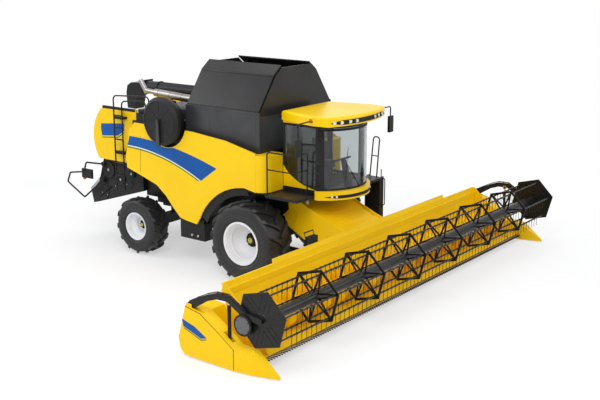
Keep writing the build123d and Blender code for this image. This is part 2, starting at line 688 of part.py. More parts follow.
with BuildPart() as seat:
    block((700, 1200), (-260, 260), (2560, 2700))
    slab([(700, 2700), (820, 2700), (720, 3300), (600, 3300)], -250, 250)
    block((800, 1100), (-180, 180), (cab_floor + seat_gap, 2560))
keep("seat", seat)

with BuildPart() as console:
    slab([(1600, cab_floor + seat_gap), (1760, cab_floor + seat_gap), (1560, 2780), (1500, 2760)], -60, 60)
    bar((1515, 0, 2770), (1500, 0, 2810), 190, 165)
    bar((1509, -178, 2786), (1509, 178, 2786), 10)
    bar((1530, 0, 2740), (1506, 0, 2800), 40)
    block((760, 1350), (-480, -320), (cab_floor + seat_gap, 2780))
keep("console", console)

with BuildPart() as mirrors:
    # side, place forward, foot at the roof's edge, glass from and to across, its top
    for y, x, foot, near, far, top in ((-1, 1500, 1153, 1560, 1730, 3470),
                                       (1, 1700, 1128, 1580, 1750, 3570)):
        middle = (near + far) / 2
        rail([(x, y * foot, visor_low + 90), (x, y * 1300, visor_low + 110), (x, y * middle, visor_low + 100),
              (x, y * middle, top - 20)], 15, 50)
        block((x - 20, x + 30), sorted((y * near, y * far)), (top - 380, top))
keep("mirrors", mirrors)

with BuildPart() as lamps:
    for y in (-1, 1):
        for across in lamp_places:
            block((visor_x(across) - 80 + seat_gap, visor_x(across) + 5),
                  sorted((y * (across - lamp_half), y * (across + lamp_half))),
                  (lamp_low, lamp_low + 2 * lamp_half))
keep("work_lamps", lamps)

bumper_low, bumper_half, bumper_rear = 2000, 930, platform_front["right"] + 10
with BuildPart() as bumper:
    with BuildSketch(level(bumper_low)) as outline:
        with BuildLine():
            Polyline((1500, bumper_half), (bumper_rear, bumper_half), (bumper_rear, -bumper_half),
                     (1500, -bumper_half))
            ThreePointArc((1500, -bumper_half), (2045, 0), (1500, bumper_half))
        make_face()
    extrude(outline.sketch, amount=cab_floor - bumper_low)
    # the cab's floor and windscreen stand in it
    with BuildSketch(level(cab_floor - 80 - seat_gap)) as outline:
        with BuildLine():
            Polyline((pillar_x, cab_half), (1200, cab_half), (1200, -cab_half), (pillar_x, -cab_half))
            ThreePointArc((pillar_x, -cab_half), (cab_nose, 0), (pillar_x, cab_half))
        make_face()
        offset(amount=seat_gap)
    extrude(outline.sketch, amount=100, mode=Mode.SUBTRACT)
keep("bumper", bumper)

with BuildPart() as platforms:
    for y, name in ((-1, "right"), (1, "left")):
        block((505, platform_front[name]), sorted((y * (cab_half + 60), y * platform_half)),
              (cab_floor - 160, platform_z))
        # bracket from the cab floor's edge out under the deck, clear of the raised feeder house
        block((505, 1290), sorted((y * (feeder_half + 20), y * (cab_half + 65))),
              (bumper_low, cab_floor - 80 - seat_gap))
        block((505, 1290), sorted((y * (cab_half + 60), y * (cab_half + 200))),
              (bumper_low, cab_floor - 160))
    # right rail round to the cab
    foot_z = platform_z - 20
    rail([(530, -1500, foot_z), (530, -1500, 3060), (1230, -1500, 3060), (1250, -970, 3030),
          (1230, -970, foot_z)], 16, 70)
    rail([(530, -1500, 2670), (1230, -1500, 2670), (1244, -970, 2650)], 14, 70)
    # leaning hoop and grab handle beside the ladder, in front of the swinging door
    rail([(1250, 1520, foot_z), (1340, 1520, 3060), (1510, 1520, 3060), (1440, 1520, foot_z)], 16, 70)
    bar((1295, 1520, 2600), (1477, 1520, 2600), 12)
    rail([(1570, 1520, foot_z), (1570, 1520, 2300), (1540, 1520, 2340), (1540, 1520, 2650),
          (1610, 1520, 2650), (1610, 1520, 2300), (1560, 1520, 2290)], 12, 14)
keep("platforms", platforms)

with BuildPart() as ladder:
    ladder_near = platform_half + seat_gap
    for x in (1090, 1485):
        block((x, x + 25), (ladder_near, ladder_near + 180), (500, platform_z - 20))
    block((1090, 1510), (ladder_near, ladder_near + 6), (500, platform_z - 20))
    for step in range(5):
        z = 540 + 320 * step
        block((1090, 1510), (ladder_near, ladder_near + 180), (z, z + 30))
    rail([(1505, ladder_near + 90, 1400), (1600, ladder_near + 90, 1400), (1600, ladder_near + 90, 2050),
          (1505, ladder_near + 90, 2050)], 12, 40)
keep("access_ladder", ladder)

# ---------------------------------------------------------------- unloading auger

with BuildPart() as turret:
    bar((swing_x, swing_y, turret_low), (swing_x, swing_y, tube_z - tube_radius - seat_gap), turret_radius)
    block((swing_x - 150, swing_x + 150), (tank_half + seat_gap, swing_y), (turret_low + 20, turret_low + 320))
keep("auger_turret", turret)

with BuildPart() as unloader:
    bar((swing_x, swing_y, tube_z - tube_radius), (swing_x, swing_y, tube_z + tube_radius), tube_radius)
    spout_y = swing_y - 80
    bar((swing_x, swing_y, tube_z), (-6300, spout_y, tube_z), tube_radius)
    # flange of the soft spout, leaning with it, and the spout
    slab([(-6190, tube_z + 210), (-6230, tube_z + 210), (-6330, tube_z - 210), (-6290, tube_z - 210)],
         spout_y - 200, spout_y + 200)
    slab([(-6220, 3745), (-6700, 3730), (-6850, 3640), (-rear_reach, 3430), (-rear_reach + 30, 3000),
          (-6560, 2990), (-6470, 3350), (-6300, 3440)], spout_y - 170, spout_y + 170)
keep("unloading_auger", unloader)

# ---------------------------------------------------------------- feeder house and its cylinders

feeder_end, clevis = 2195, 52
with BuildPart() as feeder:
    feeder_top = [(feeder_end, 1290), (1900, 1380), (700, 1900)]
    slab([(420, 1900), (420, 1560), (560, 1250), (2120, 420), (feeder_end, 480), *feeder_top],
         -feeder_half, feeder_half)
    for y in (-1, 1):
        # raised edge along the top
        low, high = sorted((y * (feeder_half - 30), y * feeder_half))
        slab([(feeder_end - 40, 1295), *feeder_top[1:], (720, 1940), (1905, 1425), (feeder_end - 40, 1340)],
             low, high)
    bar((lift_x, -feeder_half - 1, lift_z), (lift_x, feeder_half + 1, lift_z), 50 + pin_gap, mode=Mode.SUBTRACT)
    for y in (-1, 1):
        for side_y in (-clevis, clevis - plate):
            low = y * lift_cylinder_y + side_y
            slab([(1350, 860), (1650, 700), (1560, 560), (1450, 560)], low, low + plate)
        bar((lift_rod_pin[0], y * lift_cylinder_y - clevis, lift_rod_pin[1]),
            (lift_rod_pin[0], y * lift_cylinder_y + clevis, lift_rod_pin[1]), pin_radius)
keep("feeder_house", feeder)


def cylinder_pair(barrel_pin, rod_pin, across, stroke, barrel_radius, rod_radius, eye_half, eye_play):
    """Barrels and rods of two like lift cylinders, one each side of the middle.

    The rod's eye is opened by its play, since rod and barrel keep to a straight line only nearly.
    """
    run = Vector(rod_pin[0] - barrel_pin[0], rod_pin[1] - barrel_pin[1])
    ahead = run.normalized()
    closed = run.length
    rod_eye = 45 + eye_play

    def along(distance, y):
        return (barrel_pin[0] + ahead.X * distance, y, barrel_pin[1] + ahead.Y * distance)

    with BuildPart() as barrels:
        for y in (-across, across):
            bar(along(30, y), along(90, y), eye_half - 3)
            bar(along(80, y), along(closed - 110, y), barrel_radius)
            bar((barrel_pin[0], y - eye_half, barrel_pin[1]), (barrel_pin[0], y + eye_half, barrel_pin[1]), 45)
            bar((barrel_pin[0], y - eye_half - 1, barrel_pin[1]),
                (barrel_pin[0], y + eye_half + 1, barrel_pin[1]), pin_radius + pin_gap, mode=Mode.SUBTRACT)
            bar(along(closed - 200 - stroke, y), along(closed - 100, y), rod_radius + pin_gap,
                mode=Mode.SUBTRACT)
    with BuildPart() as rods:
        for y in (-across, across):
            bar(along(closed - 180 - stroke, y), along(closed - rod_eye + 10, y), rod_radius)
            bar((rod_pin[0], y - eye_half, rod_pin[1]), (rod_pin[0], y + eye_half, rod_pin[1]), rod_eye)
            bar((rod_pin[0], y - eye_half - 1, rod_pin[1]),
                (rod_pin[0], y + eye_half + 1, rod_pin[1]), pin_radius + eye_play, mode=Mode.SUBTRACT)
    return barrels, rods


def reach(pivot, pin, angle):
    """Where a pin goes when what holds it swings up about the pivot."""
    x, z = pin[0] - pivot[0], pin[1] - pivot[1]
    turn = radians(angle)
    return (pivot[0] + x * cos(turn) - z * sin(turn), pivot[1] + x * sin(turn) + z * cos(turn))


def stroke_of(pivot, barrel_pin, rod_pin, angle):
    """How far a cylinder opens over the swing."""
    end = reach(pivot, rod_pin, angle)
    return (hypot(end[0] - barrel_pin[0], end[1] - barrel_pin[1])
            - hypot(rod_pin[0] - barrel_pin[0], rod_pin[1] - barrel_pin[1]))


lift_stroke = stroke_of((lift_x, lift_z), lift_barrel_pin, lift_rod_pin, lift_range)
for name, build in zip(("lift_barrels", "lift_rods"), cylinder_pair(
        lift_barrel_pin, lift_rod_pin, lift_cylinder_y, lift_stroke, 60, 30, 35, 13)):
    keep(name, build)

# ---------------------------------------------------------------- header

# trough of the auger, down the back, along the floor and back beneath
trough = [(2240, 1316), (2420, 480), (2520, 250), (2780, 175), (3330, 130), (3330, 100), (2760, 140),
          (2480, 190)]
with BuildPart() as header:
    # back sheet, auger trough and floor, as one bent sheet, with the strip along its top
    slab([(2200, 1316), *trough, (2380, 300), (2300, 900)], -back_half, back_half)
    slab([(2200, 1310), (2180, 1400), (2200, 1405), (2235, 1310)], -strip_half, strip_half)
    # beams behind the sheet
    block((feeder_end, 2300), (-back_half, back_half), (1080, 1200))
    block((feeder_end, 2385), (-back_half, back_half), (200, 320))
    for y in (-1, 1):
        # drive space at the end, within the divider's outline
        low, high = sorted((y * back_half, y * divider_inner))
        slab([(1970, 950), (2280, 920), *trough[1:], (1850, 190), (1800, 350)], low, high)
        # end sheet with the auger's bearing, and a skid shoe under the floor
        low, high = sorted((y * (back_half - plate), y * back_half))
        slab([(2200, 1316), (2300, 1316), (2950, 700), (3330, 132), (2480, 185), (2380, 300), (2300, 900)],
             low, high)
        bar((auger_x, low - 1, auger_z), (auger_x, high + 1, auger_z), auger_shaft + pin_gap,
            mode=Mode.SUBTRACT)
        slab([(2200, 80), (2300, 0), (2800, 0), (2880, 60), (2880, 135), (2480, 200), (2200, 210)],
             y * (back_half - 430) - 100, y * (back_half - 430) + 100)
keep("header_frame", header)

with BuildPart() as coupler:
    # quick coupler for the header's hoses and shaft, on the back beam
    block((2050, 2165), (-2110, -1830), (1180, 1540))
    block((2100, feeder_end - seat_gap), (-2060, -1880), (1100, 1190))
keep("quick_coupler", coupler)

with BuildPart() as dividers:
    for y in (-1, 1):
        low, high = sorted((y * (divider_inner + seat_gap), y * divider_outer))
        slab([(1930, 1020), (1740, 350), (1780, 150), (1890, 40), (2960, 15), (3110, 15), (3110, 425),
              (2700, 700), (2300, 950)], low, high)
        # pointed nose: place forward, how far in from the sides, bottom and top
        with BuildPart(mode=Mode.ADD):
            for x, inset_in, inset_out, bottom, top in (
                    (3090, seat_gap, 0, 16, 440), (3450, 5, 40, 16, 425), (divider_tip, 90, 170, 25, 70)):
                near, far = sorted((y * (divider_inner + inset_in), y * (divider_outer - inset_out)))
                with BuildSketch(front(x)):
                    with Locations(((near + far) / 2, (bottom + top) / 2)):
                        Rectangle(far - near, top - bottom)
            loft(ruled=True)
        # slot and ears of the reel arm, and the pocket of its lift cylinder
        slot = reel_arm_wide / 2 + running_gap
        low, high = sorted((y * (reel_arm_y - slot), y * (reel_arm_y + slot)))
        block((1850, 2600), (low, high), (arm_pin[1] - 70, 1100), mode=Mode.SUBTRACT)
        for ear in (low - plate, high):
            slab([(1920, 900), (1930, 1060), (2060, 1060), (2080, 900)], ear, ear + plate)
        bar((arm_pin[0], low - 1, arm_pin[1]), (arm_pin[0], high + 1, arm_pin[1]), pin_radius)
        low, high = sorted((y * (reel_cylinder_y - 50), y * (reel_cylinder_y + 38)))
        block((reel_barrel_pin[0] - 110, reel_barrel_pin[0] + 110), (low, high), (400, 900),
              mode=Mode.SUBTRACT)
        bar((reel_barrel_pin[0], low - 1, reel_barrel_pin[1]),
            (reel_barrel_pin[0], high + 1, reel_barrel_pin[1]), pin_radius)
keep("dividers", dividers)

with BuildPart() as knife:
    block((3330 + seat_gap, knife_x), (-cut_half, cut_half), (knife_z - 40, knife_z - 20))
    guard_places = int(2 * cut_half / guard_pitch)
    with BuildSketch(level(knife_z - 42)) as guards:
        with Locations(*[(knife_x, guard_pitch * (index - (guard_places - 1) / 2))
                         for index in range(guard_places)]):
            Polygon((-20, -13), (guard_long, -3), (guard_long, 3), (-20, 13), align=None)
    extrude(guards.sketch, amount=24)
keep("knife_bar", knife)

with BuildPart() as auger:
    bar((auger_x, -auger_half, auger_z), (auger_x, auger_half, auger_z), auger_tube)
    bar((auger_x, -back_half + 4, auger_z), (auger_x, back_half - 4, auger_z), auger_shaft)
    # flights that carry the crop inward from both ends to the feeder house
    flight_from = 460
    for outward in (-1, 1):
        path = Helix(pitch=flight_pitch, height=auger_half - flight_from - 20,
                     radius=(auger_tube + auger_radius) / 2, center=at(auger_x, outward * flight_from, auger_z),
                     direction=(0, outward, 0), lefthand=outward < 0)
        foot = path @ 0
        across = Vector(foot.X - at(auger_x, 0, 0)[0], 0, foot.Z - auger_z)
        with BuildSketch(Plane(origin=foot, x_dir=across, z_dir=path % 0)) as blade:
            Rectangle(auger_radius - auger_tube + 12, flight_thick)
        sweep(blade.sketch, path=path, is_frenet=True)
keep("header_auger", auger)

# ---------------------------------------------------------------- reel

strut_wide, spider_thick = 40, 16
with BuildPart() as reel:
    bar((reel_x, -reel_half, reel_z), (reel_x, reel_half, reel_z), reel_tube)
    for index in range(spider_count + 2):
        y = -reel_half + 10 + index * (2 * reel_half - 20) / (spider_count + 1)
        with BuildSketch(side(y + spider_thick / 2)) as outline:
            with Locations((reel_x, reel_z)):
                RegularPolygon(reel_radius, 6, rotation=reel_turn)
                if 0 < index < spider_count + 1:
                    RegularPolygon(reel_radius - 60, 6, rotation=reel_turn, mode=Mode.SUBTRACT)
            if 0 < index < spider_count + 1:
                # struts from the tube out to the corners, in pairs
                for corner in range(bat_count):
                    for lean in (-30, 30):
                        turn = radians(reel_turn + 60 * corner)
                        inner_turn = turn + radians(lean)
                        begin = Vector(reel_x + 105 * cos(inner_turn), reel_z + 105 * sin(inner_turn))
                        end = Vector(reel_x + 525 * cos(turn), reel_z + 525 * sin(turn))
                        along = end - begin
                        with Locations(((begin.X + end.X) / 2, (begin.Y + end.Y) / 2)):
                            Rectangle(along.length, strut_wide,
                                      rotation=atan2(along.Y, along.X) * 180 / pi)
        extrude(outline.sketch, amount=spider_thick)
    tine_places = int(2 * tine_half / tine_pitch)
    for index in range(bat_count):
        turn = radians(reel_turn + 60 * index)
        x, z = reel_x + bat_radius * cos(turn), reel_z + bat_radius * sin(turn)
        bar((x, -reel_half, z), (x, reel_half, z), bat_pipe)
        # tines that hang from the bat
        with BuildSketch(front(x - tine_thick / 2)) as row:
            with Locations(*[(tine_pitch * (tine - (tine_places - 1) / 2), z - tine_long / 2)
                             for tine in range(tine_places)]):
                Rectangle(tine_thick, tine_long)
        extrude(row.sketch, amount=tine_thick)
keep("reel", reel)

with BuildPart() as arms:
    for y in (-1, 1):
        low, high = sorted((y * (reel_arm_y - reel_arm_wide / 2), y * (reel_arm_y + reel_arm_wide / 2)))
        slab([(1940, 955), (2030, 937), (2440, 1195), (2670, 1275), (2915, 1285), (3320, 1045), (3650, 1020),
              (3710, 1045), (3710, 1105), (3650, 1130), (3360, 1155), (2945, 1395), (2650, 1385), (2415, 1305),
              (2000, 1110), (1940, 1050)], low, high)
        bar((reel_x, y * (reel_half + seat_gap), reel_z), (reel_x, y * reel_arm_y, reel_z), 60)
        # round cover of the reel's drive, on the outer side
        bar((3300, y * (reel_arm_y + reel_arm_wide / 2 - 5), 930),
            (3300, y * (reel_arm_y + reel_arm_wide / 2 + 35), 930), 200)
        bar((reel_rod_pin[0], y * (reel_cylinder_y - 24), reel_rod_pin[1]),
            (reel_rod_pin[0], y * reel_arm_y, reel_rod_pin[1]), pin_radius)
        bar((arm_pin[0], low - 1, arm_pin[1]), (arm_pin[0], high + 1, arm_pin[1]), pin_radius + pin_gap,
            mode=Mode.SUBTRACT)
keep("reel_arms", arms)

reel_stroke = stroke_of(arm_pin, reel_barrel_pin, reel_rod_pin, reel_range)
for name, build in zip(("reel_barrels", "reel_rods"), cylinder_pair(
        reel_barrel_pin, reel_rod_pin, reel_cylinder_y, reel_stroke, 35, 16, 20, 7)):
    keep(name, build)

# ---------------------------------------------------------------- files

os.makedirs("parts", exist_ok=True)
for name, piece in pieces.items():
    export_step(piece, f"parts/{name}.step")
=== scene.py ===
import math
import bpy
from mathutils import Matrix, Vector


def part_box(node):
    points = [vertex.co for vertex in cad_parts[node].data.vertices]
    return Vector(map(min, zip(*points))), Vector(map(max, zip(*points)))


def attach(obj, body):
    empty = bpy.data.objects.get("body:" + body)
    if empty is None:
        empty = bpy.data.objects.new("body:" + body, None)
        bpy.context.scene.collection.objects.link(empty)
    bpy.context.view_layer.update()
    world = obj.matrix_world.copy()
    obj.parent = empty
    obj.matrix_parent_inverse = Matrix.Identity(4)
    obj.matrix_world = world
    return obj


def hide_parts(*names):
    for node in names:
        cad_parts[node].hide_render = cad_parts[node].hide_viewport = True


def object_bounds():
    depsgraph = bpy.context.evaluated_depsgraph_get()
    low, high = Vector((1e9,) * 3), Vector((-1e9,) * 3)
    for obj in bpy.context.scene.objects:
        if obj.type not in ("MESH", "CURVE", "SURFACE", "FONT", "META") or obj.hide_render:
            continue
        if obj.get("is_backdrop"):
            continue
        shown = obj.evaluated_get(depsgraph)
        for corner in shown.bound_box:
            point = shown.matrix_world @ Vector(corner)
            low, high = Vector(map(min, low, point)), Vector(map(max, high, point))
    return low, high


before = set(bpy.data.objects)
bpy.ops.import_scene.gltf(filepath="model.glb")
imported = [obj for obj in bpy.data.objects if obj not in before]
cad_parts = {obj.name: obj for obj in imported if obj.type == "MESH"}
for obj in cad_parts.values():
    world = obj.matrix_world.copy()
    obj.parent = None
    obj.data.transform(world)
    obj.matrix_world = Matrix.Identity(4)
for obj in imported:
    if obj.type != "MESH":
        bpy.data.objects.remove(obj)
cad_low, cad_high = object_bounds()
bpy.ops.object.select_all(action="DESELECT")

# ---------------------------------------------------------------- studio
# A plain white floor and surround under soft lamps, seen from off the front right corner.
# The surround is white where it is looked at, and in gloss and glass; the floor keeps the shadow.

tyre_low, tyre_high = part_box("drive_tyre_right")
axle = (tyre_low.x + tyre_high.x) / 2      # the drive axle's place along the machine


def at(x, y, z):
    """A place given forward of the drive axle, left of the middle and above the ground, in metres."""
    return Vector((axle + x, y, z))


def fill(tree, made, inputs):
    """Gives a node its inputs: a number or a colour as it is, another node's output by a link."""
    for socket, value in inputs.items():
        if isinstance(value, bpy.types.NodeSocket):
            tree.links.new(value, made.inputs[socket])
        else:
            made.inputs[socket].default_value = value
    return made


def node(tree, kind, inputs=None, **settings):
    """A new shader node with its settings and inputs."""
    made = tree.nodes.new("ShaderNode" + kind)
    for name, value in settings.items():
        setattr(made, name, value)
    return fill(tree, made, inputs or {})


def looked_at(tree):
    """1 where the camera sees a surface straight, in a reflection or through glass."""
    paths = node(tree, "LightPath").outputs
    seen = paths["Is Camera Ray"]
    for name in ("Is Glossy Ray", "Is Transmission Ray"):
        seen = node(tree, "Math", {0: seen, 1: paths[name]}, operation="MAXIMUM").outputs[0]
    return seen


camera_data = bpy.data.cameras.new("studio_camera")
camera_data.lens = 61.1
camera_data.clip_end = 300
camera = bpy.data.objects.new("studio_camera", camera_data)
camera.location = at(14.339, -18.471, 7.423)
heading, tilt = math.radians(37.235), math.radians(13.969)
sight = Vector((-math.sin(heading) * math.cos(tilt), math.cos(heading) * math.cos(tilt), -math.sin(tilt)))
camera.rotation_euler = sight.to_track_quat("-Z", "Y").to_euler()
bpy.context.scene.collection.objects.link(camera)
bpy.context.scene.camera = camera
bpy.context.scene.view_settings.view_transform = "Standard"

world = bpy.data.worlds.new("surround")
bpy.context.scene.world = world
world.use_nodes = True
tree = world.node_tree
tree.nodes.clear()
soft = node(tree, "Background", {"Color": (0.95, 0.97, 1.0, 1), "Strength": 0.6})
white = node(tree, "Background", {"Color": (1, 1, 1, 1)})
surround = node(tree, "MixShader", {0: looked_at(tree), 1: soft.outputs[0], 2: white.outputs[0]})
node(tree, "OutputWorld", {0: surround.outputs[0]})

floor_drop = 0.002      # how far the floor lies under the tyres, so that no two faces share a plane
bpy.ops.mesh.primitive_plane_add(size=300, location=(0, 0, -floor_drop))
ground = bpy.context.object
ground.name = "studio_floor"
bpy.ops.object.transform_apply()
floor_look = bpy.data.materials.new("floor_white")
floor_look.use_nodes = True
tree = floor_look.node_tree
matt = fill(tree, tree.nodes["Principled BSDF"],
            {"Base Color": (0.93, 0.93, 0.93, 1), "Roughness": 0.9, "Specular IOR Level": 0.1})
# white where it is looked at, fading in away from the machine so that the shadow stays
lit = node(tree, "Emission", {"Strength": 1.0})
shadow_long, shadow_wide = 11, 8.5
squeeze = node(tree, "Mapping", {"Vector": node(tree, "TexCoord").outputs["Object"],
                                 "Scale": (1 / shadow_long, 1 / shadow_wide, 1)})
reach = node(tree, "VectorMath", {0: squeeze.outputs[0]}, operation="LENGTH")
fade = node(tree, "MapRange", {"Value": reach.outputs["Value"], "From Min": 0.75, "From Max": 1.1,
                               "To Min": 0.5})
both = node(tree, "Math", {0: fade.outputs[0], 1: looked_at(tree)}, operation="MULTIPLY")
blend = node(tree, "MixShader", {0: both.outputs[0], 1: matt.outputs[0], 2: lit.outputs[0]})
fill(tree, tree.nodes["Material Output"], {"Surface": blend.outputs[0]})
ground.data.materials.append(floor_look)
ground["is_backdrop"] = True

lit_place = Vector((0, 0, 1.5))
for name, spot, size, power in (("key_lamp", (9, -14, 15), 9, 1700), ("fill_lamp", (18, 9, 11), 10, 650),
                                ("rear_lamp", (-14, -9, 12), 9, 700), ("top_lamp", (-2, 3, 18), 12, 1000)):
    lamp = bpy.data.lights.new(name, "AREA")
    lamp.size = size
    lamp.energy = power
    holder = bpy.data.objects.new(name, lamp)
    holder.location = spot
    holder.rotation_euler = (lit_place - Vector(spot)).to_track_quat("-Z", "Y").to_euler()
    bpy.context.scene.collection.objects.link(holder)

# ---------------------------------------------------------------- frame, axles and threshing body
# Welded steel sections and sheet, sprayed satin black after welding. The body hangs on the frame
# rails, and all of it is hidden by the side shields except its ends and underside.


def group(name, sockets_in, sockets_out):
    """An empty node group with named sockets, with its inputs and its output node."""
    made = bpy.data.node_groups.new(name, "ShaderNodeTree")
    for way, sockets in (("INPUT", sockets_in), ("OUTPUT", sockets_out)):
        for label, kind in sockets:
            made.interface.new_socket(name=label, in_out=way, socket_type="NodeSocket" + kind)
    return made, made.nodes.new("NodeGroupInput").outputs, made.nodes.new("NodeGroupOutput")


def mapped(tree, value, low, high, start=0.0, end=1.0):
    """A value stretched from one range to another and held at its ends."""
    return node(tree, "MapRange", {"Value": value, "From Min": low, "From Max": high,
                                   "To Min": start, "To Max": end}).outputs[0]


def noise(tree, scale, detail=3.0):
    """Cloudy noise on the piece's own coordinates."""
    place = node(tree, "TexCoord").outputs["Object"]
    return node(tree, "TexNoise", {"Scale": scale, "Detail": detail, "Vector": place}).outputs["Fac"]


def combine(tree, kind, first, second):
    """Two values or outputs put together by a math node."""
    return node(tree, "Math", {0: first, 1: second}, operation=kind).outputs[0]


def mix_colour(tree, share, first, second):
    """A colour between two."""
    return node(tree, "Mix", {"Factor": share, 6: first, 7: second}, data_type="RGBA").outputs[2]


# patches of tone in a coat of paint, and field dust low down and on what faces up
patch_size, speck_size = 0.8, 0.05
weathering, given, result = group(
    "weathering", [("Colour", "Color"), ("Patch", "Color"), ("Roughness", "Float"), ("Dust", "Float")],
    [("Colour", "Color"), ("Roughness", "Float")])
patches = mapped(weathering, noise(weathering, 1 / patch_size), 0.35, 0.7)
toned = mix_colour(weathering, patches, given["Colour"], given["Patch"])
surface = node(weathering, "NewGeometry").outputs
facing = node(weathering, "SeparateXYZ", {0: surface["Normal"]}).outputs["Z"]
height = node(weathering, "SeparateXYZ", {0: surface["Position"]}).outputs["Z"]
upward = mapped(weathering, facing, 0.3, 1.0, 0.25, 1.0)
low_down = mapped(weathering, height, 2.4, 0.1, 0.2, 1.0)
specks = mapped(weathering, noise(weathering, 1 / speck_size, 6.0), 0.42, 0.66)
settled = combine(weathering, "MULTIPLY", upward, low_down)
settled = combine(weathering, "MULTIPLY", settled, specks)
settled = combine(weathering, "MULTIPLY", settled, given["Dust"])
dust_colour = (0.30, 0.25, 0.17, 1)
rough = combine(weathering, "ADD", given["Roughness"], combine(weathering, "MULTIPLY", settled, 0.4))
rough = combine(weathering, "ADD", rough, combine(weathering, "MULTIPLY", patches, 0.04))
fill(weathering, result, {"Colour": mix_colour(weathering, settled, toned, dust_colour), "Roughness": rough})

# fine unevenness of a sprayed coat, a casting or a moulding
grain, given, result = group("surface_grain", [("Size", "Float"), ("Depth", "Float")], [("Normal", "Vector")])
cloud = noise(grain, combine(grain, "DIVIDE", 1.0, given["Size"]), 2.0)
ripple = node(grain, "Bump", {"Strength": 0.6, "Distance": given["Depth"], "Height": cloud})
fill(grain, result, {"Normal": ripple.outputs[0]})


def coated(name, colour, patch, roughness, dust=0.3, grain_size=0.02, depth=0.0006, **plain):
    """A finish with toned colour, dust and fine unevenness; plain holds the shader's own values."""
    look = bpy.data.materials.new(name)
    look.use_nodes = True
    tree = look.node_tree
    tone = node(tree, "Group", {"Colour": (*colour, 1), "Patch": (*patch, 1), "Roughness": roughness,
                                "Dust": dust}, node_tree=weathering).outputs
    fine = node(tree, "Group", {"Size": grain_size, "Depth": depth}, node_tree=grain).outputs
    shader = {"Base Color": tone["Colour"], "Roughness": tone["Roughness"], "Normal": fine["Normal"],
              "Specular IOR Level": 0.2}
    for socket, value in plain.items():
        shader[socket.replace("_", " ")] = value
    fill(tree, tree.nodes["Principled BSDF"], shader)
    return look


def dress(look, *names):
    """Gives frame pieces their finish."""
    for name in names:
        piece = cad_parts[name]
        piece.data.materials.clear()
        piece.data.materials.append(look)


black_steel = coated("satin_black_steel", (0.009, 0.009, 0.010), (0.014, 0.014, 0.015), 0.36, 0.15)
dress(black_steel, "chassis_frame", "drive_axle", "steer_axle", "knuckle_right", "knuckle_left",
      "separator_body", "tool_box")
cast_iron = coated("painted_casting", (0.035, 0.035, 0.038), (0.05, 0.048, 0.045), 0.55, 0.3, 0.006, 0.001)
dress(cast_iron, "engine")

# ---------------------------------------------------------------- tyres
# Moulded rubber on wire beads, with a smooth side wall, a rubbing rib and leaning lugs that meet in a
# chevron at the middle of the tread.

sides = (("right", -1), ("left", 1))


def select_only(piece):
    """Makes one piece the selected and active one."""
    bpy.ops.object.select_all(action="DESELECT")
    piece.select_set(True)
    bpy.context.view_layer.objects.active = piece


def settle(piece, name, look, body, slot, *stands_for):
    """Names a finished piece, puts its place into its mesh, and gives it finish and body. The slot is not
    used.
    """
    moved(piece)
    piece.name = name
    piece.data.materials.clear()
    piece.data.materials.append(look)
    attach(piece, body)
    if stands_for:
        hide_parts(*stands_for)


def started(primitive, **values):
    """A primitive, added with nothing else selected."""
    bpy.ops.object.select_all(action="DESELECT")
    primitive(**values)
    return bpy.context.object


def moved(piece, step=(0, 0, 0)):
    """The piece moved along, with its place and turn put into its mesh."""
    select_only(piece)
    piece.location = piece.location + Vector(step)
    bpy.ops.object.transform_apply()
    return piece


def smooth(piece, angle=30):
    """Smooth shading with sharp edges kept."""
    select_only(piece)
    bpy.ops.object.shade_smooth_by_angle(angle=math.radians(angle))
    return piece


def shaped(piece, *steps):
    """The piece after steps in edit mode, each of them on all of its mesh."""
    select_only(piece)
    bpy.ops.object.mode_set(mode="EDIT")
    for step in steps:
        bpy.ops.mesh.select_all(action="SELECT")
        step()
    bpy.ops.object.mode_set(mode="OBJECT")
    return piece


def face_out():
    """Turns the selected faces to point outward."""
    bpy.ops.mesh.normals_make_consistent(inside=False)


def turned(piece, angle, centre):
    """The piece turned about a line across the machine."""
    return shaped(piece, lambda: bpy.ops.transform.rotate(value=angle, orient_axis="Y",
                                                          center_override=centre))


def join(pieces):
    """Several meshes made one."""
    bpy.ops.object.select_all(action="DESELECT")
    for piece in pieces:
        piece.select_set(True)
    bpy.context.view_layer.objects.active = pieces[0]
    bpy.ops.object.join()
    return bpy.context.object


def mirror_across(piece):
    """A copy on the machine's other side, its faces turned back outward."""
    twin = piece.copy()
    twin.data = piece.data.copy()
    bpy.context.scene.collection.objects.link(twin)
    for vertex in twin.data.vertices:
        vertex.co.y = -vertex.co.y
    twin.data.flip_normals()
    return twin


def ring_of(piece, count, centre, axis="Y"):
    """The piece repeated round an axis, as one mesh."""
    select_only(piece)
    bpy.ops.object.mode_set(mode="EDIT")
    bpy.ops.mesh.select_all(action="SELECT")
    for _ in range(count - 1):
        bpy.ops.mesh.duplicate()
        bpy.ops.transform.rotate(value=2 * math.pi / count, orient_axis=axis, center_override=centre)
    bpy.ops.object.mode_set(mode="OBJECT")
    return piece


def spun(profile, centre, steps, axis=(0, 1, 0)):
    """A closed profile of (along, radius) spun round the axis through the centre."""
    piece = started(bpy.ops.mesh.primitive_circle_add, vertices=len(profile), radius=1)
    line = Vector(axis)
    outward = Vector((0, 0, 1)) if abs(line.z) < 0.5 else Vector((1, 0, 0))
    for vertex, (along, radius) in zip(piece.data.vertices, profile):
        vertex.co = Vector(centre) + line * along + outward * radius
    shaped(piece, lambda: bpy.ops.mesh.spin(steps=steps, angle=2 * math.pi, center=centre, axis=axis),
           lambda: bpy.ops.mesh.remove_doubles(threshold=0.0002), face_out)
    return smooth(piece, 35)


def strip_of(parts, place):
    """A strip whose points are placed by how far along it they are, 0 to 1, and by their edge, -1 or 1."""
    piece = started(bpy.ops.mesh.primitive_grid_add, x_subdivisions=parts, y_subdivisions=1, size=2)
    for vertex in piece.data.vertices:
        vertex.co = place((vertex.co.x + 1) / 2, vertex.co.y)
    return piece


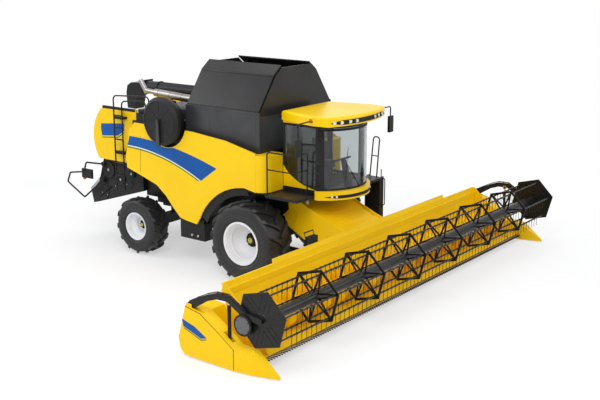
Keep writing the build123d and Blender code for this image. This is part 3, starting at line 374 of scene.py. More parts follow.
rubber = coated("tread_rubber", (0.014, 0.014, 0.015), (0.020, 0.020, 0.021), 0.42, 0.08, 0.006, 0.0008,
                Specular_IOR_Level=0.35)


def lug_of(lug_high, top, half, lean):
    """One lug from the middle of the tread round over the shoulder, at the front of the tyre."""
    sunk = 0.012      # how deep its foot goes into the carcass

    def place(along, edge):
        shoulder = max(along - 0.82, 0) / 0.18
        across = -0.012 + along * (half - 0.004)
        radius = top - 0.060 * top * shoulder ** 1.6 - 0.006 * along ** 2
        arc = lean * (-0.8 + 1.6 * along ** 0.8) + edge * (0.030 + 0.022 * along) * top / 0.95
        return radius * math.cos(arc / radius), across, radius * math.sin(arc / radius)

    piece = shaped(strip_of(7, place), face_out)
    thick = piece.modifiers.new("height", "SOLIDIFY")
    thick.thickness = lug_high + sunk
    thick.offset = -1 if piece.data.polygons[0].normal.x > 0 else 1
    bpy.ops.object.modifier_apply(modifier="height")
    return shaped(piece, face_out, lambda: bpy.ops.mesh.bevel(offset=0.007, segments=2, affect="EDGES",
                                                              clamp_overlap=True))


# side of the carcass from the bead outward: share of the half width, and how far under the lugs' top
# as a share of the side wall's height
wall_shape = ((0.80, 1.00), (0.87, 0.985), (0.925, 0.93), (0.95, 0.84), (0.975, 0.82), (0.975, 0.79),
              (0.96, 0.77), (1.0, 0.60), (0.995, 0.46), (0.96, 0.33), (0.91, 0.235), (0.84, 0.178),
              (0.60, 0.155), (0.30, 0.148))
# kind, lugs on each side, how far a lug leans along the tread, lug height, radius of the rim
tyre_kinds = (("drive", 16, 0.19, 0.066, 0.505), ("steer", 13, 0.142, 0.054, 0.35))
for kind, lug_count, lean, lug_high, rim in tyre_kinds:
    for name, y in sides:
        low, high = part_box(f"{kind}_tyre_{name}")
        centre = (low + high) / 2
        half, top = (high.y - low.y) / 2, (high.z - low.z) / 2
        deep = top - rim - 0.004
        outer = [(half * share, top - deep * fall) for share, fall in wall_shape]
        inner = [(half * 0.78, rim + 0.03), (half * 0.5, rim + 0.12)]
        closed = outer + [(-a, r) for a, r in reversed(outer)] + [(-a, r) for a, r in inner] + inner[::-1]
        carcass = spun(closed, centre, 72)
        lug = lug_of(lug_high, top, half, lean)
        other = turned(mirror_across(lug), math.pi / lug_count, (0, 0, 0))
        lugs = smooth(moved(ring_of(join([lug, other]), lug_count, (0, 0, 0)), centre), 35)
        settle(join([carcass, lugs]), f"{kind}_tread_{name}", rubber, f"{kind}_wheel_{name}", "tyre_rubber",
               f"{kind}_tyre_{name}")

# ---------------------------------------------------------------- wheels
# Deep pressed bowls welded into rolled rims and enamelled white. The bowl is bolted to the black
# hub with a ring of nuts, and a painted cap closes the hub.


def round_bar(start, end, radius, flats=16, soften=0.003):
    """A round bar between two places, its ends chamfered."""
    start, end = Vector(start), Vector(end)
    piece = started(bpy.ops.mesh.primitive_cylinder_add, vertices=flats, radius=radius,
                    depth=(end - start).length, location=(start + end) / 2,
                    rotation=(end - start).to_track_quat("Z", "Y").to_euler())
    bpy.ops.object.mode_set(mode="EDIT")
    bpy.ops.mesh.select_all(action="DESELECT")
    bpy.ops.object.mode_set(mode="OBJECT")
    for face in piece.data.polygons:
        face.select = len(face.vertices) > 4
    bpy.ops.object.mode_set(mode="EDIT")
    bpy.ops.mesh.bevel(offset=soften, segments=1, affect="EDGES")
    bpy.ops.object.mode_set(mode="OBJECT")
    return smooth(moved(piece), 40)


enamel = coated("white_enamel", (0.80, 0.81, 0.84), (0.74, 0.75, 0.78), 0.28, 0.12, 0.03, 0.0004)
hub_black = coated("hub_black", (0.010, 0.010, 0.011), (0.016, 0.016, 0.016), 0.42, 0.2)
hub_paint = coated("hub_paint", (0.55, 0.50, 0.08), (0.45, 0.40, 0.07), 0.4, 0.2)
# kind, radius of the flange and of the bead seat, how far inside the middle the disc stands, hub
# radius, number of nuts, radius of a nut and of its stud
wheel_kinds = (("drive", 0.505, 0.45, 0.06, 0.165, 10, 0.021, 0.010),
               ("steer", 0.35, 0.31, 0.05, 0.115, 8, 0.016, 0.008))
bowl_deep = 0.15
for kind, flange, bead, inset, hub, nuts, nut_radius, stud_radius in wheel_kinds:
    for name, y in sides:
        low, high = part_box(f"{kind}_rim_{name}")
        centre = (low + high) / 2
        half = (high.y - low.y) / 2
        across = Vector((0, y, 0))
        disc = -inset
        # from the outer flange in over the bowl to the hub, and back behind it
        shape = [(half, bead + 0.012), (half, flange - 0.004), (half - 0.004, flange), (half - 0.016, flange),
                 (half - 0.022, flange - 0.02), (half - 0.03, bead + 0.004), (half - 0.10, bead - 0.004),
                 (half - 0.16, bead - 0.05), (-half + 0.16, bead - 0.05), (-half + 0.06, bead),
                 (-half + 0.022, bead + 0.01), (-half + 0.016, flange), (-half, flange), (-half, bead - 0.02),
                 (-half + 0.16, bead - 0.07), (disc - 0.012, bead - 0.07), (disc - 0.012, hub + 0.03),
                 (disc - 0.012, hub * 0.62), (disc + 0.004, hub * 0.62), (disc + 0.004, hub + 0.03),
                 (disc + 0.014, hub + 0.10), (disc + 0.05, bead - 0.12), (disc + bowl_deep, bead - 0.062),
                 (half - 0.12, bead - 0.03), (half - 0.045, bead - 0.014)]
        wheel = spun(shape, centre, 72, across)
        settle(wheel, f"{kind}_bowl_{name}", enamel, f"{kind}_wheel_{name}", "rim_white",
               f"{kind}_rim_{name}")
        seat = centre + across * disc
        nose = spun([(0.003, 0.004), (0.003, hub), (0.018, hub), (0.022, hub - 0.006), (0.026, hub * 0.62),
                     (0.075, hub * 0.56), (0.082, hub * 0.5), (0.084, 0.004)], seat, 36, across)
        place = seat + across * 0.03 + Vector((0, 0, hub * 0.82))
        nut = round_bar(place - across * 0.018, place + across * 0.012, nut_radius, 6)
        stud = round_bar(place, place + across * 0.035, stud_radius, 8)
        ring = ring_of(join([nut, stud]), nuts, centre)
        settle(join([nose, ring]), f"{kind}_hub_{name}", hub_black, f"{kind}_wheel_{name}", "black_steel")
        cap = spun([(0.080, 0.003), (0.080, hub * 0.40), (0.092, hub * 0.38), (0.098, hub * 0.2),
                    (0.098, 0.003)], seat, 28, across)
        settle(cap, f"{kind}_cap_{name}", hub_paint, f"{kind}_wheel_{name}", "rim_white")

# ---------------------------------------------------------------- side shields
# Large moulded panels with a deep gloss, hung at the top and lifted on gas struts. A blue band with
# white and green lines is laid on each of them, and a black seam crosses it near the rear.

gloss_yellow = coated("yellow_gloss", (0.93, 0.60, 0.001), (0.90, 0.57, 0.001), 0.3, 0.05, 0.05, 0.0004,
                      Coat_Weight=0.12, Coat_Roughness=0.06, Specular_IOR_Level=0.18)
dress(gloss_yellow, "side_shield_right", "side_shield_left", "corner_panels", "cab_roof", "rear_hood")
band_blue = coated("band_blue", (0.002, 0.070, 0.30), (0.003, 0.10, 0.38), 0.3, 0.05)
band_green = coated("band_green", (0.02, 0.12, 0.03), (0.03, 0.16, 0.04), 0.35, 0.05)
band_white = coated("band_white", (0.85, 0.86, 0.84), (0.78, 0.79, 0.77), 0.35, 0.05)
seam_black = coated("seam_rubber", (0.012, 0.012, 0.012), (0.02, 0.02, 0.02), 0.7, 0.2)
shield_face = -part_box("side_shield_right")[0].y
screen_low, screen_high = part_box("dust_screen")
screen_middle = (screen_low + screen_high) / 2
screen_x, screen_z = screen_middle.x - axle, screen_middle.z
screen_radius = (screen_high.z - screen_low.z) / 2


def thickened(piece, step):
    """A flat piece made solid by drawing it out along a step."""
    return shaped(piece, lambda: bpy.ops.mesh.extrude_region_move(TRANSFORM_OT_translate={"value": step}),
                  face_out)


def ribbon(lower, upper, face, thick, parts=48):
    """A thin strip on an upright face, between two lines that give (x, z) for a share of their length."""
    def place(share, edge):
        x, z = upper(share) if edge > 0 else lower(share)
        return at(x, face, z)

    return thickened(strip_of(parts, place), (0, math.copysign(thick, face), 0))


def band_top(beside_screen):
    """The band's upper edge. Beside the dust screen it keeps below the opening in the panel."""
    def line(share):
        x = -3.73 + 2.82 * share
        z = 2.96 - 0.0558 * (x + 3.75) ** 2
        room = (screen_radius + 0.085) ** 2 - (x - screen_x) ** 2
        return x, min(z, screen_z - math.sqrt(room)) if beside_screen and room > 0 else z
    return line


def band_low(drop, reach):
    """A line below the band's lower edge, running to a share of its length."""
    def line(share):
        x = -3.80 + 2.40 * reach * share
        return x, 2.73 - 0.099 * (x + 3.80) ** 2 - drop
    return line


def seam_line(x):
    """An upright line near the panel's rear end, leaning forward a little."""
    return lambda share: (x + 0.06 * share, 2.10 + 0.90 * share)


for name, y in sides:
    face = y * (shield_face + 0.0015)
    for label, look, lower, upper in (
            ("blue", band_blue, band_low(0, 1.0), band_top(y < 0)),
            ("white", band_white, band_low(0.028, 0.985), band_low(0.004, 0.998)),
            ("green", band_green, band_low(0.062, 0.965), band_low(0.034, 0.98))):
        settle(ribbon(lower, upper, face, 0.0013), f"shield_band_{label}_{name}", look,
               "side_shield_" + name, "yellow_panel")
    seam = ribbon(seam_line(-3.404), seam_line(-3.396), face, 0.0012, 12)
    settle(seam, "shield_seam_" + name, seam_black, "side_shield_" + name, "black_steel")

# ---------------------------------------------------------------- corner panels, fenders and tool box
# The front corners are moulded with the shields' gloss and bolted on. The fenders under them are
# rough black mouldings, and the box behind the wheel is folded sheet with two lugs for a chain.


def cross_bar(x, y, z, out, *sizes):
    """A round bar that stands out sideways from a place, towards the side that the sign of out gives."""
    return round_bar(at(x, y, z), at(x, y + out, z), *sizes)


def softened(piece, soften, parts=2):
    """The piece with its edges rounded off."""
    return shaped(piece, lambda: bpy.ops.mesh.bevel(offset=soften, segments=parts, affect="EDGES"))


def box_piece(low, high, soften=0.006, parts=2):
    """A block between two corners, its edges rounded off."""
    low, high = Vector(low), Vector(high)
    piece = started(bpy.ops.mesh.primitive_cube_add, size=1, location=(low + high) / 2)
    piece.scale = high - low
    return softened(moved(piece), soften, parts)


rough_black = coated("moulded_black", (0.013, 0.013, 0.014), (0.020, 0.020, 0.021), 0.55, 0.2, 0.004, 0.0008)
zinc = coated("zinc_plate", (0.55, 0.53, 0.45), (0.45, 0.43, 0.36), 0.35, 0.2, 0.004, 0.0002, Metallic=0.9)
dress(rough_black, "fenders")
box_low, box_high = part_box("tool_box")
front = box_low.y      # the face of the box that looks out on the right
lugs = []
for x in (-1.81, -1.62):
    lugs += [cross_bar(x, front + 0.002, 0.77, -0.037, 0.030, 20, 0.006),
             cross_bar(x, front - 0.02, 0.77, -0.025, 0.016, 6, 0.003)]
settle(join(lugs), "tool_box_lugs", zinc, "machine", "black_steel")
lid = [box_piece((box_low.x + 0.02, front - 0.008, box_low.z + 0.27),
                 (box_high.x - 0.02, front + 0.004, box_high.z - 0.02)),
       box_piece((box_low.x + 0.30, front - 0.026, box_low.z + 0.30),
                 (box_low.x + 0.42, front - 0.006, box_low.z + 0.33))]
settle(join(lid), "tool_box_lid", rough_black, "machine", "black_steel")

# ---------------------------------------------------------------- grain tank and folding covers
# Satin grey sheet folded and riveted, with upright seams. The covers that fold up over it are thin
# black sheet, stiffened by creases along their edges, and hinged along the tank's rim.


def row_of(piece, count, step):
    """The piece repeated in a straight row, as one mesh."""
    select_only(piece)
    row = piece.modifiers.new("row", "ARRAY")
    row.use_relative_offset = False
    row.use_constant_offset = True
    row.constant_offset_displace = step
    row.count = count
    bpy.ops.object.modifier_apply(modifier="row")
    return piece


tank_sheet = coated("tank_sheet", (0.050, 0.051, 0.055), (0.075, 0.076, 0.080), 0.34, 0.08, 0.4, 0.003,
                    Metallic=0.4)
dress(tank_sheet, "grain_tank", "tank_auger")
cover_sheet = coated("cover_sheet", (0.012, 0.012, 0.013), (0.020, 0.020, 0.022), 0.28, 0.08, 0.5, 0.004,
                     Coat_Weight=0.1, Coat_Roughness=0.2)
dress(cover_sheet, "tank_cover_right", "tank_cover_left", "tank_cover_front", "tank_cover_rear")
tank_low, tank_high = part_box("grain_tank")
tank_front, tank_rear = tank_high.x - axle, tank_low.x - axle
rivets, seams = [], []
for name, y in sides:
    face = y * tank_high.y
    for z in (tank_high.z - 0.03, 2.99):
        first = cross_bar(tank_rear + 0.05, face, z, y * 0.005, 0.009, 8, 0.002)
        rivets.append(row_of(first, 22, (0.1, 0, 0)))
    low, high = sorted((face, face + y * 0.004))
    for x in (-1.30, 0.075):
        seams.append(box_piece(at(x - 0.022, low, 2.97), at(x + 0.022, high, tank_high.z - 0.01), 0.0015, 1))
    low, high = sorted((face, face + y * 0.006))
    seams.append(box_piece(at(tank_rear, low, tank_high.z - 0.055), at(tank_front, high, tank_high.z - 0.001),
                           0.002, 1))
settle(join(rivets), "tank_rivets", tank_sheet, "machine", "tank_grey")
settle(join(seams), "tank_seams", tank_sheet, "machine", "tank_grey")

# creases and edge folds on the covers that stand up
for name, y in sides:
    low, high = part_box("tank_cover_" + name)
    foot, fold = Vector((0, y * 1.350, 3.8703)), Vector((0, y * 0.800, 4.650))
    folds = []
    for share in (0.03, 0.965):
        spot = foot.lerp(fold, share)
        folds.append(round_bar(spot + Vector((low.x + 0.03, 0, 0)), spot + Vector((high.x - 0.03, 0, 0)),
                               0.012, 10))
    spot = foot + Vector((low.x + 0.06, 0, 0.02))
    studs = round_bar(spot, spot + Vector((0, y * 0.012, 0.006)), 0.009, 8, 0.002)
    folds.append(row_of(studs, 17, (0.125, 0, 0)))
    settle(join(folds), "cover_folds_" + name, cover_sheet, "tank_cover_" + name, "cover_black")

# ---------------------------------------------------------------- rear hood, engine deck and exhaust
# The hood is a gloss moulding with a black rubber edge along its side panels and a blue band. On the
# deck stand the engine cover, the air cleaner and a bright silencer with its leaning outlet.


def plate(outline, low, high, soften=0.004):
    """A flat plate cut to an outline of (x, z), between two distances from the machine's middle."""
    piece = started(bpy.ops.mesh.primitive_circle_add, vertices=len(outline), radius=1, fill_type="NGON")
    for vertex, (x, z) in zip(piece.data.vertices, outline):
        vertex.co = at(x, low, z)
    thickened(piece, (0, high - low, 0))
    return softened(piece, soften) if soften else piece


hood_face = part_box("rear_hood")[1].y
hood_band = [(-5.12, 3.08), (-5.13, 2.93), (-5.10, 2.77), (-4.51, 2.83), (-4.28, 2.98), (-4.27, 3.16)]
hood_line = [(x, z - 0.03) for x, z in hood_band[2:5]] + [(x, z - 0.055) for x, z in reversed(hood_band[2:5])]
for name, y in sides:
    face = sorted((y * (hood_face + 0.0002), y * (hood_face + 0.002)))
    settle(plate(hood_band, *face, soften=0), "hood_band_" + name, band_blue, "machine", "yellow_panel")
    settle(plate(hood_line, *face, soften=0), "hood_line_" + name, band_green, "machine", "yellow_panel")
satin_black = coated("satin_black_sheet", (0.010, 0.010, 0.011), (0.016, 0.016, 0.017), 0.34, 0.15, 0.02,
                     0.0005)
dress(satin_black, "engine_deck", "rear_ladder", "rear_guards", "screen_housing", "platforms",
      "access_ladder", "auger_turret", "cab_frame", "cab_door")
edge = [box_piece(at(-5.05, y * 1.175 - 0.028, 3.475), at(-3.86, y * 1.175 + 0.028, 3.545), 0.010)
        for name, y in sides]
settle(join(edge), "hood_edging", seam_black, "machine", "black_steel")
# middle of each box's foot on the deck, then its length, width and height
boxes = ((-3.10, -0.86, 3.64, 0.36, 0.30, 0.16), (-2.62, 0.10, 3.64, 0.50, 0.42, 0.12),
         (-3.60, -1.15, 3.49, 0.20, 0.26, 0.10))
deck = [box_piece(at(x - long / 2, y - wide / 2, z), at(x + long / 2, y + wide / 2, z + tall), 0.03, 3)
        for x, y, z, long, wide, tall in boxes]
slat = box_piece(at(-3.46, -0.905, 3.42), at(-2.36, -0.895, 3.44), 0.003, 1)
deck.append(row_of(slat, 6, (0, 0, 0.033)))
settle(join(deck), "deck_boxes", satin_black, "machine", "black_steel")
heat_steel = coated("exhaust_steel", (0.34, 0.33, 0.32), (0.24, 0.21, 0.18), 0.3, 0.1, 0.01, 0.0003,
                    Metallic=1.0)
dress(heat_steel, "exhaust")
straps = [spun([(-0.02, 0.094), (-0.02, 0.101), (0.02, 0.101), (0.02, 0.094)],
               at(x, -0.4, 3.8 + (-2.45 - x) * 0.047), 32, (1, 0, 0)) for x in (-2.62, -3.02, -3.42, -3.82)]
settle(join(straps), "silencer_straps", heat_steel, "machine", "exhaust_steel")

# ---------------------------------------------------------------- rotary dust screen
# A drum of perforated sheet turns in front of the cooler, on its shaft. Black wire cloth is stretched
# over it between flat spokes, and a suction arm stands still in front of it.

wire_cloth = coated("wire_cloth", (0.013, 0.013, 0.014), (0.020, 0.020, 0.022), 0.45, 0.15)
tree = wire_cloth.node_tree
holes = node(tree, "TexVoronoi", {"Vector": node(tree, "TexCoord").outputs["Object"], "Scale": 160,
                                  "Randomness": 0.0})
dots = node(tree, "Bump", {"Distance": 0.002, "Strength": 0.7, "Height": holes.outputs["Distance"]})
fill(tree, tree.nodes["Principled BSDF"], {"Normal": dots.outputs[0]})
dress(wire_cloth, "dust_screen")
screen_front = Vector((screen_middle.x, screen_low.y, screen_z))
rim = screen_radius - 0.09
spoke = plate([(screen_x - 0.008, screen_z + 0.10), (screen_x + 0.008, screen_z + 0.10),
               (screen_x + 0.012, screen_z + rim), (screen_x - 0.012, screen_z + rim)],
              screen_low.y - 0.004, screen_low.y + 0.002, 0.001)
spokes = [ring_of(spoke, 8, screen_middle),
          spun([(-0.006, rim - 0.01), (-0.006, rim + 0.008), (0.002, rim + 0.012), (0.002, rim - 0.01)],
               screen_front, 72),
          spun([(0.075, screen_radius - 0.004), (0.075, screen_radius + 0.005), (0.10, screen_radius + 0.005),
                (0.10, screen_radius - 0.004)], screen_front, 72)]
settle(join(spokes), "screen_spokes", satin_black, "dust_screen", "cover_black")
arm_y = screen_low.y - 0.050
wand_grey = coated("suction_arm_grey", (0.045, 0.046, 0.050), (0.06, 0.06, 0.065), 0.45, 0.15)
wand = [plate([(screen_x - 0.055, screen_z - 0.555), (screen_x + 0.055, screen_z - 0.555),
               (screen_x + 0.032, screen_z + 0.03), (screen_x, screen_z + 0.075),
               (screen_x - 0.032, screen_z + 0.03)], arm_y - 0.022, arm_y + 0.004, 0.009),
        cross_bar(screen_x, arm_y - 0.034, screen_z, 0.036, 0.026, 20, 0.004)]
settle(join(wand), "suction_arm", wand_grey, "machine", "cover_black")

# ---------------------------------------------------------------- straw chopper and rear guards
# A welded black housing with belt wheels at its sides and spreading fins behind it, worn bright by the
# straw. Tube guards either side of it carry the rear lamps' black holders and amber lenses.

dress(satin_black, "straw_chopper")
chopper_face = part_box("straw_chopper")[1].y
bright_steel = coated("worn_steel", (0.50, 0.50, 0.51), (0.36, 0.35, 0.33), 0.35, 0.3, 0.01, 0.0004,
                      Metallic=0.9)
fin_count, fin_pitch = 9, 0.2585
vanes = []
for index in range(fin_count):
    y = (index - (fin_count - 1) / 2) * fin_pitch
    vanes.append(plate([(-5.455, 1.600), (-5.800, 1.272), (-5.775, 1.215), (-5.470, 1.500)],
                       y - 0.008, y + 0.008, 0.002))
settle(join(vanes), "fin_wear_strips", bright_steel, "machine", "black_steel")
belt_wheels, nuts, braces = [], [], []
for name, y in sides:
    face = y * chopper_face
    # belt wheels with dished webs, and the belts' two runs
    for x, z, radius in ((-5.06, 1.86, 0.20), (-4.62, 1.66, 0.12), (-4.22, 1.86, 0.10)):
        belt_wheels.append(spun([
            (0.001, 0.03), (0.001, radius), (0.030, radius), (0.036, radius + 0.010), (0.042, radius + 0.010),
            (0.042, radius - 0.02), (0.020, radius - 0.04), (0.016, radius * 0.45), (0.034, radius * 0.3),
            (0.034, 0.03)], at(x, face, z), 36, (0, y, 0)))
        nuts.append(spun([(0.010, 0.002), (0.010, 0.032), (0.052, 0.032), (0.058, 0.024), (0.058, 0.002)],
                         at(x, face, z), 16, (0, y, 0)))
    low, high = sorted((face + y * 0.024, face + y * 0.036))
    for run in ([(-5.045, 2.063), (-4.21, 1.967), (-4.21, 1.955), (-5.047, 2.050)],
                [(-5.10, 1.662), (-4.65, 1.546), (-4.648, 1.556), (-5.098, 1.674)]):
        belt_wheels.append(plate(run, low, high, 0.001))
    low, high = sorted((face, face + y * 0.012))
    for brace in ([(-5.46, 1.08), (-5.30, 1.62), (-5.22, 1.66), (-5.10, 1.24), (-5.22, 1.05)],
                  [(-4.98, 1.30), (-4.90, 1.52), (-4.30, 1.66), (-4.20, 1.60), (-4.28, 1.46)]):
        braces.append(plate(brace, low, high))
    braces.append(round_bar(at(-5.52, face + y * 0.03, 1.06), at(-5.02, face + y * 0.03, 1.42), 0.016, 12))
    for x, z in ((-5.36, 1.22), (-5.26, 1.50), (-5.16, 1.18), (-4.84, 1.46), (-4.42, 1.56)):
        nuts.append(cross_bar(x, face, z, y * 0.022, 0.014, 6))
settle(join(belt_wheels), "chopper_drive", rough_black, "machine", "black_steel")
settle(join(braces), "chopper_braces", satin_black, "machine", "black_steel")
settle(join(nuts), "chopper_nuts", bright_steel, "machine", "black_steel")
amber = coated("amber_lens", (0.80, 0.22, 0.01), (0.70, 0.18, 0.01), 0.15, 0.1, Transmission_Weight=0.3)
for name, y in sides:
    lens = spun([(0.0, 0.004), (0.0, 0.046), (-0.03, 0.046), (-0.05, 0.030), (-0.054, 0.004)],
                at(-5.78, y * 1.262, 1.598), 28, (0, 0, 1))
    settle(lens, "rear_marker_" + name, amber, "machine", "lamp_glass")
    low, high = sorted((y * 1.288, y * 1.300))
    holder = box_piece(at(-5.83, low, 1.625), at(-5.48, high, 1.815), 0.005)
    settle(holder, "rear_lamp_holder_" + name, rough_black, "machine", "black_steel")

# ---------------------------------------------------------------- ladders, platforms and rails
# Bent tube and folded tread plate, sprayed black. The treads are punched with rows of teeth, and
# small lamps sit under the right platform.

teeth = []
for step in range(5):
    tooth = spun([(0.0, 0.004), (0.0, 0.013), (0.006, 0.010), (0.006, 0.004)],
                 at(1.14, 1.60, 0.57 + 0.32 * step), 10, (0, 0, 1))
    teeth.append(row_of(row_of(tooth, 9, (0.04, 0, 0)), 3, (0, 0.045, 0)))
settle(join(teeth), "tread_teeth", satin_black, "machine", "black_steel")
under_lamps = [spun([(0.0, 0.004), (0.0, 0.050), (-0.035, 0.046), (-0.055, 0.030), (-0.055, 0.004)],
                    at(x, -0.95, 1.925), 20, (1, 0, 0)) for x in (0.90, 1.03, 1.24)]
settle(join(under_lamps), "platform_lamps", zinc, "machine", "lamp_glass")

# ---------------------------------------------------------------- cab
# A welded tube frame with bonded, lightly tinted panes. The roof is a yellow moulding whose long
# visor holds round work lamps in a black band, and inside stand a sprung seat and the controls.

tint = coated("tinted_glass", (0.66, 0.70, 0.71), (0.66, 0.70, 0.71), 0.0, 0.0, 1.0, 0.0,
              Transmission_Weight=1.0, IOR=1.45, Specular_IOR_Level=0.5)
dress(tint, "cab_glass", "door_glass")
trim_grey = coated("cab_trim", (0.045, 0.046, 0.050), (0.06, 0.061, 0.065), 0.55, 0.05, 0.003, 0.0006)
dress(trim_grey, "console")
lens_clear = coated("lamp_lens", (0.80, 0.82, 0.84), (0.72, 0.74, 0.76), 0.08, 0.02, 0.02, 0.0006)
dress(lens_clear, "work_lamps")


def bow(nose, side, corner):
    """How far forward a bowed front is at a distance from the middle, from its nose and corners."""
    drop = nose - corner
    radius = (side ** 2 + drop ** 2) / (2 * drop)
    return lambda y: nose - radius + math.sqrt(radius ** 2 - y ** 2)


def bowed_strip(front, start, end, lower, upper, thick, parts=48):
    """A strip laid round a bowed front, its lower and upper edges given as heights or as lines."""
    def place(share, edge):
        y = start + (end - start) * share
        z = upper if edge > 0 else lower
        return at(front(y) + 0.0005, y, z(share) if callable(z) else z)

    return smooth(thickened(strip_of(parts, place), (thick, 0, 0)))


def pointed(middle, half):
    """Lower and upper edges of a strip that narrows to a point at both ends."""
    def edge(sign):
        return lambda share: middle + sign * half * min(1, 7 * share, 7 * (1 - share)) ** 0.8
    return edge(-1), edge(1)


visor_at, screen_at = bow(2.15, 1.1, 1.9), bow(1.95, 0.88, 1.46)
cab_floor, lamps_high = 2.202, 3.77
settle(bowed_strip(visor_at, -1.06, 1.06, *pointed(lamps_high, 0.052), 0.003), "visor_band", seam_black,
       "machine", "black_steel")
bezels, lenses = [], []
for y in (-0.96, -0.78, -0.55, -0.35, 0.35, 0.55, 0.78, 0.96):
    spot = at(visor_at(y) + 0.004, y, lamps_high)
    aim = Vector((1.0, y / 2.4, 0)).normalized()
    bezels.append(spun([(0.0, 0.030), (0.0, 0.041), (0.010, 0.039), (0.014, 0.034), (0.004, 0.030)],
                       spot, 28, aim))
    lenses.append(spun([(0.001, 0.001), (0.001, 0.031), (0.005, 0.031), (0.009, 0.018), (0.010, 0.001)],
                       spot, 24, aim))
settle(join(bezels), "lamp_bezels", zinc, "machine", "lamp_glass")
settle(join(lenses), "lamp_lenses", lens_clear, "machine", "lamp_glass")
# black edging printed round the windscreen, along its foot and top and up its sides
glass_top = 3.585
edging = [bowed_strip(screen_at, -0.87, 0.87, lower, upper, 0.002)
          for lower, upper in ((cab_floor, 2.245), (3.530, glass_top))]
edging += [bowed_strip(screen_at, start, end, cab_floor, glass_top, 0.002, 6)
           for start, end in ((-0.875, -0.80), (0.80, 0.875))]
settle(join(edging), "windscreen_edging", seam_black, "machine", "window_glass")
# the wiper's blade, arm and spindle
wiper = [bowed_strip(lambda y: screen_at(y) + 0.012, -0.42, -0.36, lambda share: 2.42 + 0.72 * share,
                     lambda share: 2.44 + 0.72 * share, 0.012, 10),
         round_bar(at(screen_at(0) + 0.02, 0, 2.24), at(screen_at(-0.39) + 0.03, -0.39, 2.78), 0.007, 8),
         round_bar(at(screen_at(0) - 0.002, 0, 2.24), at(screen_at(0) + 0.03, 0, 2.24), 0.016)]
settle(join(wiper), "wiper", seam_black, "machine", "black_steel")
# the side window's curved lower edge, then the headlining, mat, rear trim and a display on its post
corner = [(0.502, cab_floor), (0.502, 2.68), (0.58, 2.58), (0.70, 2.47), (0.86, 2.37), (1.06, 2.285),
          (1.30, 2.225), (1.42, cab_floor)]
settle(plate(corner, -0.884, -0.8803, 0.001), "cab_corner_panel", gloss_yellow, "machine", "yellow_panel")
lining = [box_piece(at(0.58, -0.80, 3.600), at(1.42, 0.80, 3.636), 0.008),
          box_piece(at(0.60, -0.78, 2.2005), at(1.44, 0.78, 2.210), 0.003),
          box_piece(at(0.545, -0.79, 2.21), at(0.575, 0.79, 2.98), 0.008),
          box_piece(at(1.20, -0.64, 2.84), at(1.23, -0.44, 3.00), 0.008),
          round_bar(at(1.21, -0.52, 2.78), at(1.21, -0.54, 2.86), 0.012, 12)]
settle(join(lining), "cab_lining", trim_grey, "machine", "cover_black")
lever = [round_bar(at(1.22, -0.40, 2.78), at(1.27, -0.41, 2.90), 0.010, 12),
         spun([(0, 0.002), (0.004, 0.022), (0.030, 0.028), (0.062, 0.022), (0.070, 0.002)],
              at(1.27, -0.41, 2.89), 20, (0.1, 0, 0.995))]
settle(join(lever), "drive_lever", seam_black, "machine", "cover_black")
door_low, door_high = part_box("cab_door")
seal = [box_piece((door_low.x + 0.052, 0.919, z), (door_high.x - 0.052, 0.9225, z + 0.014), 0.001, 1)
        for z in (2.262, 3.514)]
settle(join(seal), "door_seal", seam_black, "cab_door", "black_steel")

# ---------------------------------------------------------------- driver's seat
# A sprung base carries a moulded foam cushion and back, each covered in dark cloth that is drawn
# tight over the foam and fixed under it.

cloth = coated("seat_cloth", (0.030, 0.031, 0.036), (0.045, 0.046, 0.052), 0.9, 0.0, 0.0035, 0.0012,
               Sheen_Weight=0.3)


def stuffed(low, high, lean=0.0):
    """A foam pad between two corners, leaned back about its lower edge: a soft block swelled by pressure."""
    swell = 0.012      # no point moves further than this
    pad = box_piece(low, high, 0.035, 3)
    if lean:
        turned(pad, lean, (low[0], 0, low[2]))
    fine = pad.modifiers.new("fine", "REMESH")
    fine.mode = "VOXEL"
    fine.voxel_size = 0.014
    select_only(pad)
    bpy.ops.object.modifier_apply(modifier="fine")
    before = [vertex.co.copy() for vertex in pad.data.vertices]
    cover = pad.modifiers.new("cover", "CLOTH")
    cover.settings.use_pressure = True
    cover.settings.uniform_pressure_force = 4
    cover.settings.effector_weights.gravity = 0
    for number in range(1, 16):
        bpy.context.scene.frame_set(number)
    bpy.ops.object.modifier_apply(modifier="cover")
    bpy.context.scene.frame_set(1)
    for vertex, place in zip(pad.data.vertices, before):
        step = vertex.co - place
        if step.length > swell:
            vertex.co = place + step * (swell / step.length)
    rounder = pad.modifiers.new("rounder", "SUBSURF")
    rounder.levels = rounder.render_levels = 1
    bpy.ops.object.modifier_apply(modifier="rounder")
    return smooth(pad, 60)


base = [box_piece(at(0.80, -0.18, cab_floor), at(1.10, 0.18, 2.545), 0.02),
        box_piece(at(0.74, -0.22, 2.53), at(1.16, 0.22, 2.57), 0.012),
        box_piece(at(0.655, -0.14, 2.60), at(0.70, 0.14, 3.00), 0.012)]
settle(join(base), "seat_base", trim_grey, "machine", "seat_fabric", "seat")
cushion = stuffed(at(0.730, -0.230, 2.585), at(1.180, 0.230, 2.685))
settle(cushion, "seat_cushion", cloth, "machine", "seat_fabric", "seat")
back = stuffed(at(0.715, -0.215, 2.700), at(0.800, 0.215, 3.270), -0.16)
settle(back, "seat_back", cloth, "machine", "seat_fabric", "seat")

# ---------------------------------------------------------------- mirrors and bumper
# Black moulded mirror shells hang on bent tubes, and an amber marker sits above the right one. The
# bumper under the windscreen is a yellow moulding with a black slot that holds small lamps.

